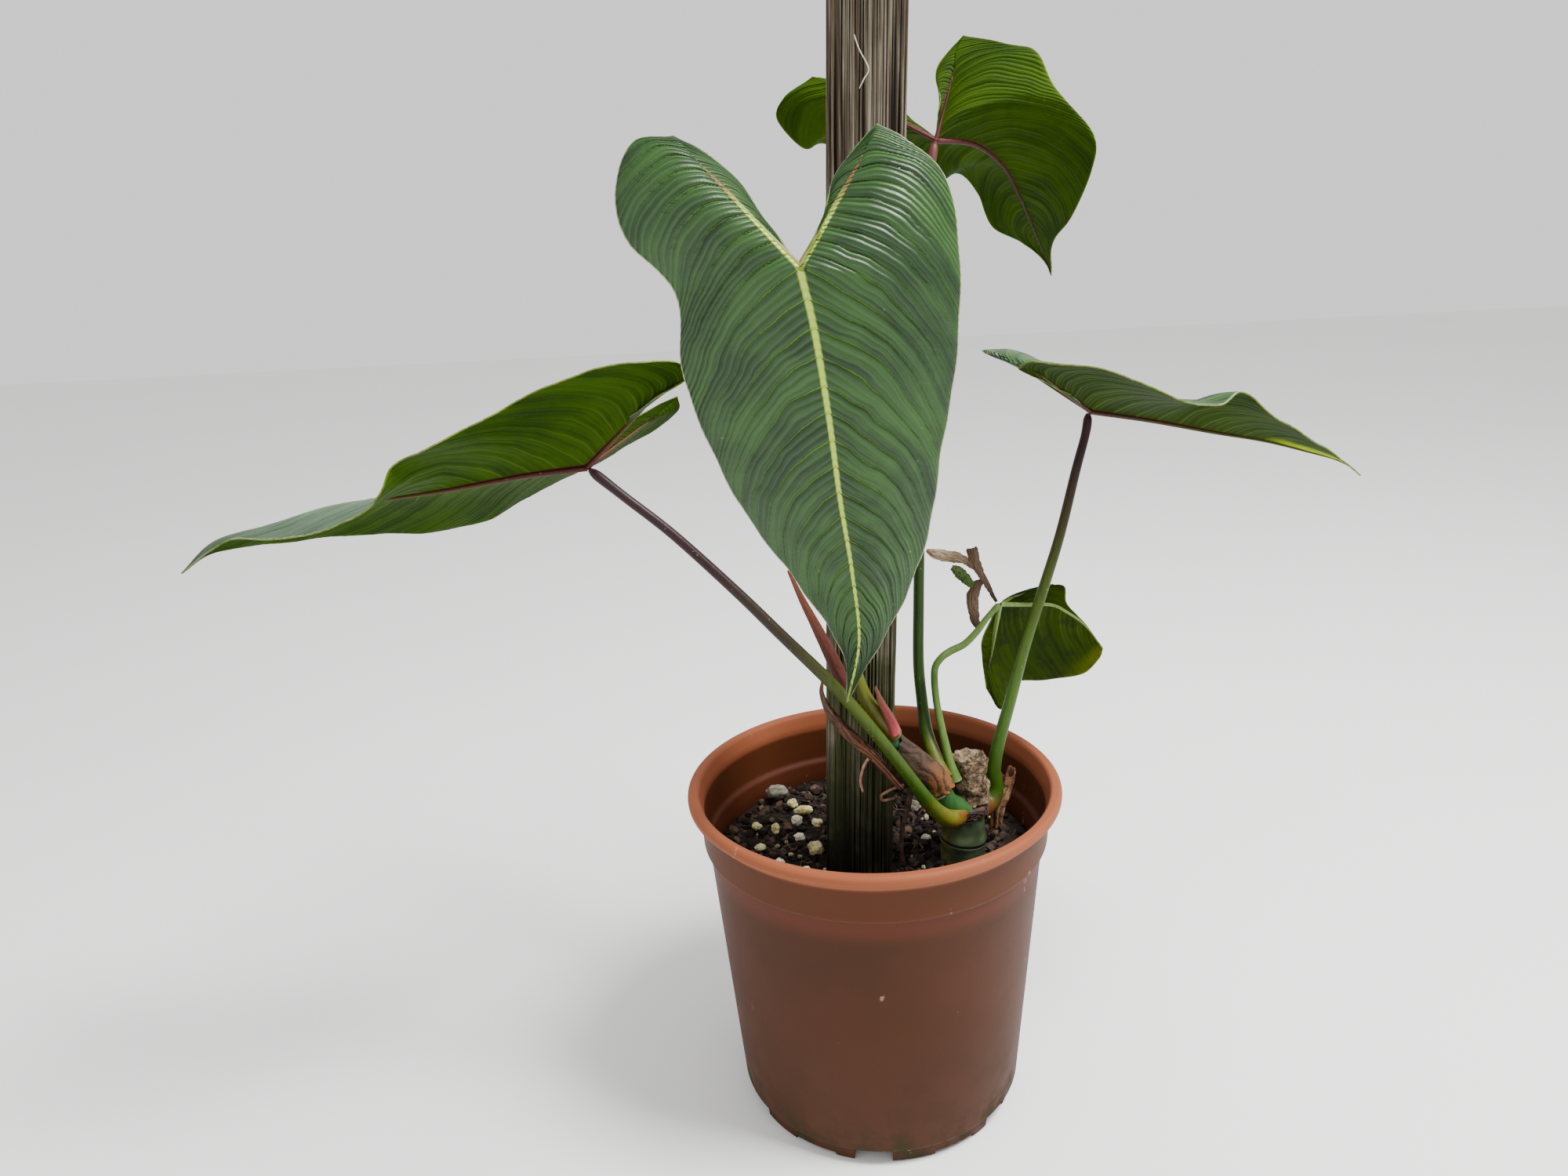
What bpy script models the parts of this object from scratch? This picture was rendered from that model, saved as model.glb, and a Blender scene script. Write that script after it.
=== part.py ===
"""Potted philodendron: a young climbing aroid beside a square wooden stake, in a round nursery pot.
Metres, +Z up.  Origin: centre of the pot's base, on the surface it stands on."""
import math
import random

import bmesh
import bpy
import numpy as np
from mathutils import Euler, Matrix, Vector

MM = 0.001
GAP = 0.4                                  # clearance between neighbouring pieces, mm

# Pot, mm
POT_HEIGHT = 196.0
RIM_RADIUS = 105.0
COLLAR_RADIUS = 98.0                       # below the rolled rim
COLLAR_FOOT = 165.0                        # height where the collar steps in to the body
BODY_TOP_RADIUS = 94.8
BODY_FOOT_RADIUS = 82.4
FOOT_HEIGHT = 10.0                         # top of the inset ring that the pot stands on
WALL = 1.7
FLOOR_LOW = 4.0                            # underside of the floor
FLOOR_TOP = 6.4
DRAIN_COUNT = 6
DRAIN_ANGLE = 262.0                        # direction of the front drain notch, degrees
DRAIN_WIDTH = 21.0
DRAIN_HEIGHT = 8.8
POT_STEPS = 56

# Potting mix, mm
MIX_TOP = 154.0
MIX_LOW = FLOOR_TOP + 0.6

# Stake, mm
STAKE_SIDE = 36.0
STAKE_LOW = 30.0
STAKE_TOP = 645.0
STAKE_AT_MIX = (-10.0, -12.0)              # centre where it leaves the mix
STAKE_LEAN = (0.036, -0.013)               # sideways shift for each unit of height
STAKE_TWIST = -3.5                         # degrees

# Main stem, mm
STEM_AT = (49.0, -15.0)
STEM_RADIUS = 12.2
STEM_LOW = 112.0
STEM_HIGH = 180.0

# Leaf blades
BLADE_THICKNESS = 1.1                      # mm
LOBE_CELLS = 5                             # columns along each rear rib
BLADE_CELLS = 11                           # columns along the midrib
ACROSS_CELLS = 4                           # rows from a rib to the edge
BLADE_PUFF = 0.07                          # how far a half swells between rib and edge, per unit width
VEIN_BOW = 0.10                            # how far the side veins bow to the base, per unit width

parts = bpy.data.collections.new("potted_philodendron")
cutters = bpy.data.collections.new("cutters")


def clear_scene():
    for thing in list(bpy.data.objects):
        bpy.data.objects.remove(thing)
    bpy.context.scene.collection.children.link(parts)
    bpy.context.scene.collection.children.link(cutters)


def material(name, colour, roughness, metallic=0.0):
    made = bpy.data.materials.new(name)
    made.use_nodes = True
    shader = made.node_tree.nodes["Principled BSDF"]
    shader.inputs["Base Color"].default_value = (*colour, 1.0)
    shader.inputs["Roughness"].default_value = roughness
    shader.inputs["Metallic"].default_value = metallic
    return made


def add_object(name, mesh, colour, roughness=0.6):
    thing = bpy.data.objects.new(name, mesh)
    thing.data.materials.append(material(name, colour, roughness))
    parts.objects.link(thing)
    return thing


def keep_primitive(name, colour, roughness=0.6):
    """The primitive just added becomes a named part."""
    thing = bpy.context.object
    thing.name = name
    for owner in list(thing.users_collection):
        owner.objects.unlink(thing)
    parts.objects.link(thing)
    thing.data.materials.append(material(name, colour, roughness))
    return thing


def make_cutter(thing):
    for owner in list(thing.users_collection):
        owner.objects.unlink(thing)
    cutters.objects.link(thing)
    thing.hide_render = True
    thing.display_type = "WIRE"
    return thing


def cut(target, cutter):
    hole = target.modifiers.new("cut " + cutter.name, "BOOLEAN")
    hole.operation = "DIFFERENCE"
    hole.solver = "EXACT"
    hole.object = cutter


def turned(name, profile, colour, steps, centre=(0.0, 0.0), roughness=0.6):
    """A profile of (radius, height) in mm, outer side first from the top down, turned about a vertical axis."""
    mesh = bpy.data.meshes.new(name)
    points = [(r * MM, 0.0, z * MM) for r, z in profile]
    mesh.from_pydata(points, [(i, i + 1) for i in range(len(points) - 1)], [])
    thing = add_object(name, mesh, colour, roughness)
    screw = thing.modifiers.new("turn", "SCREW")
    screw.steps = steps
    screw.render_steps = steps
    screw.use_merge_vertices = True
    screw.merge_threshold = 0.00005
    thing.location = (centre[0] * MM, centre[1] * MM, 0.0)
    return thing


def smooth_path(points, count):
    """count points at even steps of length along a smooth curve through points (Catmull-Rom)."""
    p = np.array(points, float)
    p = np.vstack([2 * p[0] - p[1], p, 2 * p[-1] - p[-2]])
    fine = []
    for i in range(1, len(p) - 2):
        for t in np.linspace(0.0, 1.0, 16, endpoint=False):
            fine.append(0.5 * (2 * p[i] + (p[i + 1] - p[i - 1]) * t
                               + (2 * p[i - 1] - 5 * p[i] + 4 * p[i + 1] - p[i + 2]) * t * t
                               + (3 * p[i] - p[i - 1] - 3 * p[i + 1] + p[i + 2]) * t ** 3))
    fine.append(p[-2])
    fine = np.array(fine)
    run = np.concatenate([[0.0], np.cumsum(np.linalg.norm(np.diff(fine, axis=0), axis=1))])
    even = np.linspace(0.0, run[-1], count)
    return np.stack([np.interp(even, run, fine[:, k]) for k in range(fine.shape[1])], -1)


def stalk(name, route, colour, sides=2, spacing=14.0, roughness=0.45):
    """A tapering tube along a route of (x, y, z, radius) in mm."""
    length = sum((Vector(b[:3]) - Vector(a[:3])).length for a, b in zip(route, route[1:]))
    points = smooth_path(route, max(4, round(length / spacing) + 1))
    curve = bpy.data.curves.new(name, "CURVE")
    curve.dimensions = "3D"
    curve.bevel_depth = MM
    curve.bevel_resolution = sides
    curve.use_fill_caps = True
    spline = curve.splines.new("POLY")
    spline.points.add(len(points) - 1)
    for point, (x, y, z, radius) in zip(spline.points, points):
        point.co = (x * MM, y * MM, z * MM, 1.0)
        point.radius = radius
    return add_object(name, curve, colour, roughness)


def grid_faces(columns, rows, start=0):
    faces = []
    for i in range(columns - 1):
        for j in range(rows - 1):
            a = start + i * rows + j
            faces.append((a, a + rows, a + rows + 1, a + 1))
    return faces


def skin(name, vertices, faces, thickness, colour, roughness=0.5):
    """An open sheet of faces, welded where its columns meet and given an even thickness in mm."""
    mesh = bpy.data.meshes.new(name)
    mesh.from_pydata([tuple(v) for v in vertices], [], faces)
    work = bmesh.new()
    work.from_mesh(mesh)
    bmesh.ops.remove_doubles(work, verts=work.verts, dist=0.00005)
    bmesh.ops.dissolve_degenerate(work, edges=work.edges, dist=0.00002)
    bmesh.ops.recalc_face_normals(work, faces=work.faces)
    work.to_mesh(mesh)
    work.free()
    mesh.shade_smooth()
    thing = add_object(name, mesh, colour, roughness)
    solidify = thing.modifiers.new("thickness", "SOLIDIFY")
    solidify.thickness = thickness * MM
    solidify.offset = 0.0
    return thing


def sheath(name, route, opening, facing, colour, thickness=0.7, columns=9, rows=7):
    """A channel-shaped scale leaf.  route holds (x, y, z, radius) in mm; opening is the angle left
    open, in degrees, and facing is the direction that the opening looks in."""
    points = smooth_path(route, columns)
    vertices = []
    for i, (x, y, z, radius) in enumerate(points):
        ahead = Vector(points[min(i + 1, columns - 1)][:3])
        behind = Vector(points[max(i - 1, 0)][:3])
        along = (ahead - behind).normalized()
        out = Vector(facing)
        out = (out - along * out.dot(along)).normalized()
        side = along.cross(out)
        for j in range(rows):
            turn = math.radians(opening / 2 + (360 - opening) * j / (rows - 1))
            spoke = out * math.cos(turn) + side * math.sin(turn)
            vertices.append((Vector((x, y, z)) + spoke * radius) * MM)
    return skin(name, vertices, grid_faces(columns, rows), thickness, colour)


# Blades.  Each is described in its own frame, in mm: (along, left, up), with the stalk's joint at the
# origin, along pointing to the tip and up on the glossy side.  at, heading, pitch and roll place the frame.
# A half's edge runs from the joint round the rear lobe to the tip; notch is the part up to the lobe's apex.
BLADES = {
    "front_leaf": dict(
        at=(-32, -115, 483), heading=-90, pitch=-104, roll=0, colour=(0.04, 0.13, 0.05),
        midrib=[(25, 5, 2), (63, 10, 4), (102, 14, 6), (141, 19, 5), (182, 22, 2), (221, 16, -2)],
        left=dict(rib=(-38, 27, -17), notch=[(-17, 10, -8), (-33, 17, -18), (-49, 33, -21)],
                  edge=[(-43, 44, -18), (-30, 59, -13), (1, 65, -5), (47, 65, -6), (84, 60, -5),
                        (128, 55, -6), (166, 43, -5), (203, 24, -2)]),
        right=dict(rib=(-40, -39, -15), notch=[(-13, -10, -9), (-35, -27, -20), (-49, -47, -19)],
                   edge=[(-47, -63, -17), (-32, -71, -10), (-12, -68, -6), (10, -51, -7), (45, -51, -8),
                         (80, -42, -8), (115, -28, -8), (150, -7, -6), (190, 14, -3)])),
    "left_leaf": dict(
        at=(-137, -40, 392), heading=180, pitch=-12, roll=31, colour=(0.08, 0.17, 0.03),
        midrib=[(30, 3, 3), (65, 5, 5), (93, 8, 7), (125, 10, 10), (157, 9, 9), (187, 7, 9), (210, 0, 0)],
        left=dict(rib=(-45, 28, 14), notch=[(-14, 5, 10), (-37, 25, 11), (-63, 30, 18)],
                  edge=[(-57, 42, 21), (-35, 54, 21), (-6, 53, 21), (22, 51, 16), (49, 57, 6),
                        (73, 53, 3), (84, 49, -7), (103, 38, -11), (139, 28, -8), (176, 15, 4)]),
        right=dict(rib=(-35, -27, 28), notch=[(-15, -6, 15), (-32, -19, 28), (-47, -30, 36)],
                   edge=[(-44, -36, 30), (-19, -50, 27), (16, -58, 21), (37, -57, 17), (70, -53, 6),
                         (98, -40, 3), (122, -31, 6), (141, -28, 9), (172, -17, 10), (194, -4, 8)])),
    "right_leaf": dict(
        at=(123, 20, 396), heading=4, pitch=-17, roll=-5, colour=(0.05, 0.12, 0.02),
        midrib=[(33, 0, 3), (70, 0, 5), (99, 0, 7), (123, -1, 7), (147, -1, 6), (160, -1, 1)],
        left=dict(rib=(-40, 32, 16), notch=[(-8, 20, 7), (-29, 31, 12), (-56, 37, 17)],
                  edge=[(-38, 54, 22), (-13, 62, 21), (23, 60, 15), (53, 57, 15), (78, 51, 20),
                        (92, 44, 26), (108, 36, 18), (125, 22, 8), (141, 7, 7), (152, 2, 5)]),
        right=dict(rib=(-43, -28, 11), notch=[(-21, -15, 5), (-38, -23, 8), (-55, -34, 10)],
                   edge=[(-52, -43, 15), (-37, -52, 17), (-18, -61, 19), (6, -57, 16), (28, -57, 14),
                         (46, -48, 17), (58, -41, 26), (82, -34, 19), (117, -20, 12), (141, -8, 7)])),
    "top_leaf": dict(
        at=(44, 40, 536), heading=46, pitch=-34, roll=-24, colour=(0.06, 0.14, 0.02),
        midrib=[(24, -10, 10), (49, -14, 12), (72, -12, 10), (97, -8, 8), (123, -4, 4), (137, -1, 0)],
        left=dict(rib=(-27, 31, 23), notch=[(-6, 7, 9), (-26, 23, 27), (-43, 47, 34)],
                  edge=[(-46, 63, 26), (-41, 71, 20), (-23, 67, 13), (-16, 58, 16), (6, 43, 10),
                        (33, 25, 4), (44, 11, 16), (64, 9, 15), (85, 11, 7), (108, 3, 7), (125, -2, 3)]),
        right=dict(rib=(-8, -17, 31), notch=[(-7, -7, 15), (-14, -10, 30), (-11, -24, 46)],
                   edge=[(2, -41, 41), (11, -53, 36), (26, -56, 22), (52, -64, 8), (69, -55, 1),
                         (93, -33, -2), (111, -14, 1)])),
    "small_leaf": dict(
        at=(74, 12, 292), heading=4, pitch=-28, roll=-90, colour=(0.07, 0.15, 0.03),
        midrib=[(12, -5, 0), (26, -11, 0), (36, -11, 0), (51, -8, 1), (67, 0, 0)],
        left=dict(rib=(12, 33, 2), notch=[(0, 21, 0), (7, 33, 2), (19, 49, 6)],
                  edge=[(32, 57, 4), (34, 47, 9), (38, 40, 14), (54, 33, 16), (69, 21, 12), (71, 8, 6)]),
        right=dict(rib=(7, -6, 4), notch=[(2, -3, 2), (5, -5, 3), (8, -7, 4)],
                   edge=[(15, -11, 7), (23, -18, 9), (32, -22, 9), (36, -15, 5), (45, -11, 3), (58, -5, 1)])),
}


def blade_frame(spec):
    place = Euler((math.radians(spec["roll"]), -math.radians(spec["pitch"]), math.radians(spec["heading"])))
    return Matrix.Translation(Vector(spec["at"])) @ place.to_matrix().to_4x4()


def blade_half(spec, side, sign):
    """One half as columns of points from its rib out to its edge.  The first columns run out along the
    rear rib inside the notch, the next come back along it, and the rest follow the midrib to the tip."""
    half = spec[side]
    joint = (0.0, 0.0, 0.0)
    tip = spec["midrib"][-1]
    rib = smooth_path([joint, half["rib"]], LOBE_CELLS + 1)
    midrib = smooth_path([joint, *spec["midrib"]], BLADE_CELLS + 1)
    notch = smooth_path([joint, *half["notch"]], LOBE_CELLS + 1)
    edge = smooth_path([half["notch"][-1], *half["edge"], tip], LOBE_CELLS + BLADE_CELLS + 1)
    roots = np.vstack([rib, rib[-2::-1], midrib[1:]])
    ends = np.vstack([notch, edge[1:]])
    along = np.array((1.0, 0.0, 0.0))
    columns = []
    for i, (root, end) in enumerate(zip(roots, ends)):
        reach = end - root
        width = np.linalg.norm(reach)
        up = np.cross(along, reach) * sign
        up = up / max(np.linalg.norm(up), 0.001)
        swell = 0.3 if i <= LOBE_CELLS else 1.0
        for j in range(ACROSS_CELLS + 1):
            v = j / ACROSS_CELLS
            hump = 4 * v * (1 - v) * width * swell
            columns.append(root + reach * v + hump * (BLADE_PUFF * up - VEIN_BOW * along))
    return columns, len(roots)


def blade(name):
    spec = BLADES[name]
    frame = blade_frame(spec)
    vertices = []
    faces = []
    for side, sign in (("left", 1.0), ("right", -1.0)):
        points, count = blade_half(spec, side, sign)
        faces += grid_faces(count, ACROSS_CELLS + 1, len(vertices))
        vertices += [frame @ Vector(p) * MM for p in points]
    return skin(name, vertices, faces, BLADE_THICKNESS, spec["colour"], 0.4)


def stalk_end(name, radius, back=1.5):
    """The point just under a blade's joint where its stalk ends, with its radius."""
    end = blade_frame(BLADES[name]) @ Vector((-back, 0.0, -radius - 1.3))
    return (*end, radius)


def make_pot():
    def wall_radius(z):
        share = (z - FOOT_HEIGHT) / (COLLAR_FOOT - FOOT_HEIGHT)
        return BODY_FOOT_RADIUS + (BODY_TOP_RADIUS - BODY_FOOT_RADIUS) * share

    rim_inside = RIM_RADIUS - 6.5
    profile = [
        (0.0, FLOOR_TOP - FLOOR_LOW), (21.5, FLOOR_TOP - FLOOR_LOW), (25.0, FLOOR_TOP),
        (BODY_FOOT_RADIUS - WALL - 3.6, FLOOR_TOP), (BODY_FOOT_RADIUS - WALL, FOOT_HEIGHT + 4.0),
        (BODY_TOP_RADIUS - WALL, COLLAR_FOOT - 1.8), (COLLAR_RADIUS - WALL - 0.6, COLLAR_FOOT + 0.4),
        (COLLAR_RADIUS - WALL, POT_HEIGHT - 8.0), (rim_inside, POT_HEIGHT - 1.4),
        (rim_inside + 1.2, POT_HEIGHT), (RIM_RADIUS - 1.6, POT_HEIGHT), (RIM_RADIUS, POT_HEIGHT - 1.6),
        (RIM_RADIUS, POT_HEIGHT - 4.6), (RIM_RADIUS - 1.2, POT_HEIGHT - 5.8),
        (COLLAR_RADIUS + 3.4, POT_HEIGHT - 6.2), (COLLAR_RADIUS + 3.0, POT_HEIGHT - 9.0),
        (COLLAR_RADIUS + 0.4, POT_HEIGHT - 10.2), (COLLAR_RADIUS - 0.4, COLLAR_FOOT + 1.6),
        (COLLAR_RADIUS - 1.2, COLLAR_FOOT), (BODY_TOP_RADIUS, COLLAR_FOOT - 0.6),
        (wall_radius(90.0), 90.0), (BODY_FOOT_RADIUS, FOOT_HEIGHT), (BODY_FOOT_RADIUS - 2.6, FOOT_HEIGHT - 1.6),
        (BODY_FOOT_RADIUS - 3.6, 0.0), (BODY_FOOT_RADIUS - 8.0, 0.0), (BODY_FOOT_RADIUS - 8.6, FLOOR_LOW),
        (26.0, FLOOR_LOW), (23.0, 0.0), (0.0, 0.0),
    ]
    pot = turned("pot", profile, (0.36, 0.12, 0.06), POT_STEPS, roughness=0.45)
    for k in range(DRAIN_COUNT):
        for shift, width, height in ((0.0, DRAIN_WIDTH, DRAIN_HEIGHT), (35.0, 26.0, 2.4)):
            turn = math.radians(DRAIN_ANGLE + shift + 360.0 * k / DRAIN_COUNT)
            bpy.ops.mesh.primitive_cube_add(size=1.0)
            notch = make_cutter(bpy.context.object)
            notch.name = "drain_notch"
            notch.scale = (17.0 * MM, width * MM, (height + 4.0) * MM)
            notch.rotation_euler = (0.0, 0.0, turn)
            reach = (BODY_FOOT_RADIUS - 2.0) * MM
            notch.location = (reach * math.cos(turn), reach * math.sin(turn), (height - 4.0) / 2 * MM)
            cut(pot, notch)
    return pot


def stake_axis(z):
    rise = z - MIX_TOP
    return Vector((STAKE_AT_MIX[0] + STAKE_LEAN[0] * rise, STAKE_AT_MIX[1] + STAKE_LEAN[1] * rise, z))


def square_post(name, side, low, high):
    """A square post along the stake's leaning axis, with its ends sawn level."""
    post = bmesh.new()
    bmesh.ops.create_cube(post, size=1.0)
    mesh = bpy.data.meshes.new(name)
    twist = Matrix.Rotation(math.radians(STAKE_TWIST), 4, "Z")
    for corner in post.verts:
        centre = stake_axis(high if corner.co.z > 0 else low)
        offset = twist @ Vector((corner.co.x * side, corner.co.y * side, 0.0))
        corner.co = (centre + offset) * MM
    post.to_mesh(mesh)
    post.free()
    return mesh


def make_stake():
    mesh = square_post("stake", STAKE_SIDE, STAKE_LOW, STAKE_TOP)
    stake = add_object("stake", mesh, (0.16, 0.12, 0.08), 0.9)
    edges = stake.modifiers.new("worn edges", "BEVEL")
    edges.width = 1.0 * MM
    edges.segments = 1
    return stake


def make_mix():
    """The bed of potting mix, with the holes that the stake and the stem stand in."""
    def inside(z):
        foot = BODY_FOOT_RADIUS - WALL
        top = BODY_TOP_RADIUS - WALL
        return foot + (top - foot) * (z - FOOT_HEIGHT - 4.0) / (COLLAR_FOOT - FOOT_HEIGHT - 5.8) - GAP

    profile = [
        (0.0, MIX_TOP), (30.0, MIX_TOP), (60.0, MIX_TOP), (inside(MIX_TOP - 2.0), MIX_TOP),
        (inside(80.0), 80.0), (inside(FOOT_HEIGHT + 4.0), FOOT_HEIGHT + 4.0),
        (BODY_FOOT_RADIUS - WALL - 4.2, MIX_LOW), (0.0, MIX_LOW),
    ]
    mix = turned("potting_mix", profile, (0.03, 0.022, 0.016), 44, roughness=1.0)
    mesh = square_post("stake_hole", STAKE_SIDE + 2 * GAP, STAKE_LOW - GAP, MIX_TOP + 20.0)
    hole = bpy.data.objects.new("stake_hole", mesh)
    parts.objects.link(hole)
    cut(mix, make_cutter(hole))
    bpy.ops.mesh.primitive_cylinder_add(vertices=24, radius=1.0, depth=1.0)
    hole = make_cutter(bpy.context.object)
    hole.name = "stem_hole"
    wide = (STEM_RADIUS + 1.4 + GAP) * MM
    hole.scale = (wide, wide, (MIX_TOP + 20.0 - STEM_LOW + GAP) * MM)
    hole.location = (STEM_AT[0] * MM, STEM_AT[1] * MM, (MIX_TOP + 20.0 + STEM_LOW - GAP) / 2 * MM)
    cut(mix, hole)
    return mix


def make_stem():
    """The old main stem: a green foot with a node ring, a collar of leaf scars and a corky sawn stump."""
    r = STEM_RADIUS
    foot = [
        (0.0, STEM_HIGH), (r - 1.2, STEM_HIGH), (r - 0.4, STEM_HIGH - 3.0), (r - 0.2, 170.0),
        (r + 0.9, 165.5), (r + 1.0, 163.5), (r + 0.2, 161.0), (r + 0.6, 148.0),
        (r - 1.0, STEM_LOW + 3.0), (r - 4.0, STEM_LOW), (0.0, STEM_LOW),
    ]
    turned("stem_foot", foot, (0.05, 0.08, 0.03), 20, STEM_AT, 0.5)
    low = STEM_HIGH + GAP
    collar = [
        (0.0, low + 6.0), (r - 1.5, low + 6.0), (r + 0.9, low + 4.6), (r + 1.2, low + 2.6),
        (r + 0.4, low + 0.6), (r - 1.0, low), (0.0, low),
    ]
    turned("leaf_scar_collar", collar, (0.05, 0.03, 0.025), 20, STEM_AT, 0.9)
    low = low + 6.0 + GAP
    stump = [
        (0.0, 213.0), (4.0, 214.5), (7.6, 213.0), (9.2, 208.0), (8.6, 201.0), (9.6, 194.0),
        (9.8, low + 0.8), (9.0, low), (0.0, low),
    ]
    turned("cut_stump", stump, (0.26, 0.2, 0.14), 14, (54.5, -11.0), 0.95)


STALKS = {
    "left_leaf_stalk": dict(colour=(0.1, 0.12, 0.03), leaf="left_leaf", tip=2.3, route=[
        (38, -34, 184, 4.6), (27, -39, 200, 3.9), (8, -47, 232, 3.3), (-8, -52, 257, 3.2), (-24, -55, 279, 3.1),
        (-46, -55, 304, 2.9), (-68, -52, 328, 2.7), (-97, -47, 357, 2.5), (-119, -44, 376, 2.4)]),
    "right_leaf_stalk": dict(colour=(0.12, 0.2, 0.03), leaf="right_leaf", tip=2.1, route=[
        (69, -5, 184, 4.4), (68, -5, 198, 4.0), (71, -4, 217, 3.6), (77, -3, 240, 3.3), (85, -1, 271, 3.1),
        (95, 2, 302, 2.9), (105, 7, 332, 2.7), (114, 13, 365, 2.5), (120, 18, 384, 2.3)]),
    "small_leaf_stalk": dict(colour=(0.2, 0.3, 0.1), leaf="small_leaf", tip=1.6, route=[
        (41, -19, 214, 2.4), (37.5, -13, 232, 2.1), (35.5, -7, 247, 2.0), (35.5, -3, 261, 2.0), (39, -1, 267, 2.0),
        (45, 2, 270, 2.1), (53, 4, 273, 2.0), (60, 6, 279, 1.9), (66, 8, 286, 1.7)]),
    "top_leaf_stalk": dict(colour=(0.06, 0.12, 0.02), leaf="top_leaf", tip=2.2, route=[
        (33, -15, 216, 3.9), (30, -6, 227, 3.5), (29, 2, 241, 3.2), (28, 8, 262, 3.1), (29, 12, 295, 3.0),
        (30, 14, 328, 2.9), (31, 16, 370, 2.8), (32, 19, 410, 2.7), (34, 23, 450, 2.6), (37, 28, 489, 2.5),
        (40, 34, 517, 2.4)]),
    "front_leaf_stalk": dict(colour=(0.13, 0.13, 0.04), leaf="front_leaf", tip=2.2, route=[
        (-1, -42, 256, 4.0), (-7, -43, 268, 3.4), (-12, -44, 287, 3.1), (-19, -45, 321, 2.9), (-24, -48, 370, 2.7),
        (-28, -60, 425, 2.5), (-30, -84, 458, 2.4), (-32, -103, 474, 2.3)]),
}

SHEATHS = {
    "papery_sheath": dict(colour=(0.16, 0.09, 0.05), opening=170, facing=(0.1, 1, -0.5), thickness=0.6, route=[
        (31, -27, 208, 7.8), (24, -29.5, 216, 7.6), (15, -34, 227, 7.0), (8, -38, 236, 6.2)]),
    "tall_scale_leaf": dict(colour=(0.24, 0.08, 0.06), opening=120, facing=(1, 0.4, 0.2), thickness=0.7, route=[
        (-15, -43, 268, 4.4), (-20, -45, 284, 4.0), (-28, -48, 304, 3.0), (-36, -49, 322, 1.8), (-42, -50, 337, 0.6)]),
    "pink_scale_leaf": dict(colour=(0.4, 0.13, 0.12), opening=140, facing=(-1, 0.3, -0.2), thickness=0.7, route=[
        (9, -41, 243, 3.6), (6, -43, 252, 3.0), (2, -46, 262, 1.9), (-1, -47.5, 272, 0.6)]),
    "dry_scale_leaf": dict(colour=(0.12, 0.05, 0.03), opening=170, facing=(0.3, 0, 1), thickness=0.6, route=[
        (12, -45, 214, 2.4), (-1, -45, 232, 3.6), (-13, -44, 245, 4.2), (-22, -43, 256, 3.4), (-27, -43, 267, 1.8),
        (-27, -43, 276, 0.6)]),
    "dry_sheath_stub": dict(colour=(0.3, 0.17, 0.09), opening=160, facing=(-1, 0, 0.2), thickness=0.6, route=[
        (71, 2, 160, 1.6), (72, 3, 172, 2.6), (76, 5, 184, 3.6), (80, 6, 193, 4.2)]),
}

ROOTS = {
    "pink_root": dict(colour=(0.35, 0.18, 0.13), route=[
        (-3, -39, 230, 0.9), (-7, -36, 222, 0.8), (-9, -35, 213, 0.7), (-8, -35, 206, 0.6)]),
    "looped_root": dict(colour=(0.2, 0.09, 0.05), route=[
        (14, -33, 208, 0.9), (8, -35, 207, 0.8), (2, -36, 204, 0.8), (3, -36, 201, 0.8), (9, -34, 201, 0.7)]),
    "old_root": dict(colour=(0.1, 0.04, 0.03), route=[
        (18, -33, 205, 1.6), (17, -30, 194, 1.5), (14, -27, 180, 1.4), (13, -27, 166, 1.3), (14, -26, 156, 1.1)]),
}

# Loose pieces on the mix: centre x and y, length, width and height in mm, and turn in degrees
STONES = {
    "pebble_back": (-56, 60, 15, 11, 9, 20), "pumice_back": (-46, 47, 8, 7, 6, 70),
    "pumice_pair_a": (-40, 37, 13, 7, 7, 15), "pumice_pair_b": (-44, 26, 8, 6, 6, 60),
    "pumice_by_stake": (-32, 22, 8, 6, 5, 130), "pumice_oval": (-68, 22, 7, 5, 5, 35),
    "pumice_tall": (-57, 17, 5, 9, 6, 10), "pumice_flat": (-43, 8, 7, 6, 4, 0),
    "pumice_large": (-34, -9, 11, 10, 8, 50), "pumice_left": (-66, -3, 8, 5, 5, 150),
    "pumice_low": (-55, -20, 7, 5, 5, 40), "pumice_edge": (-41, -30, 9, 6, 5, 165),
    "pumice_right": (72, 20, 10, 5, 5, 25), "pebble_grey": (27, 36, 10, 8, 7, 80),
    "pumice_behind": (12, 47, 7, 6, 5, 20), "pumice_yellow": (30, 0, 6, 5, 4, 0),
}


def make_shoot():
    """The side shoot: the living stem that grows out under the collar towards the stake."""
    stalk("side_shoot", [
        (38, -25, 193, 5.4), (34, -26, 201, 5.9), (26, -28.5, 213, 5.6), (16, -33.5, 226, 4.9), (7, -38, 238, 4.1),
        (2, -40, 246, 3.5)], (0.06, 0.16, 0.05), spacing=7.0)


def make_stalks():
    for name, spec in STALKS.items():
        stalk(name, spec["route"] + [stalk_end(spec["leaf"], spec["tip"])], spec["colour"])


def make_sheaths():
    for name, spec in SHEATHS.items():
        sheath(name, spec["route"], spec["opening"], spec["facing"], spec["colour"], spec["thickness"])


def make_roots():
    for name, spec in ROOTS.items():
        stalk(name, spec["route"], spec["colour"], sides=1, spacing=5.0, roughness=0.9)


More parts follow.
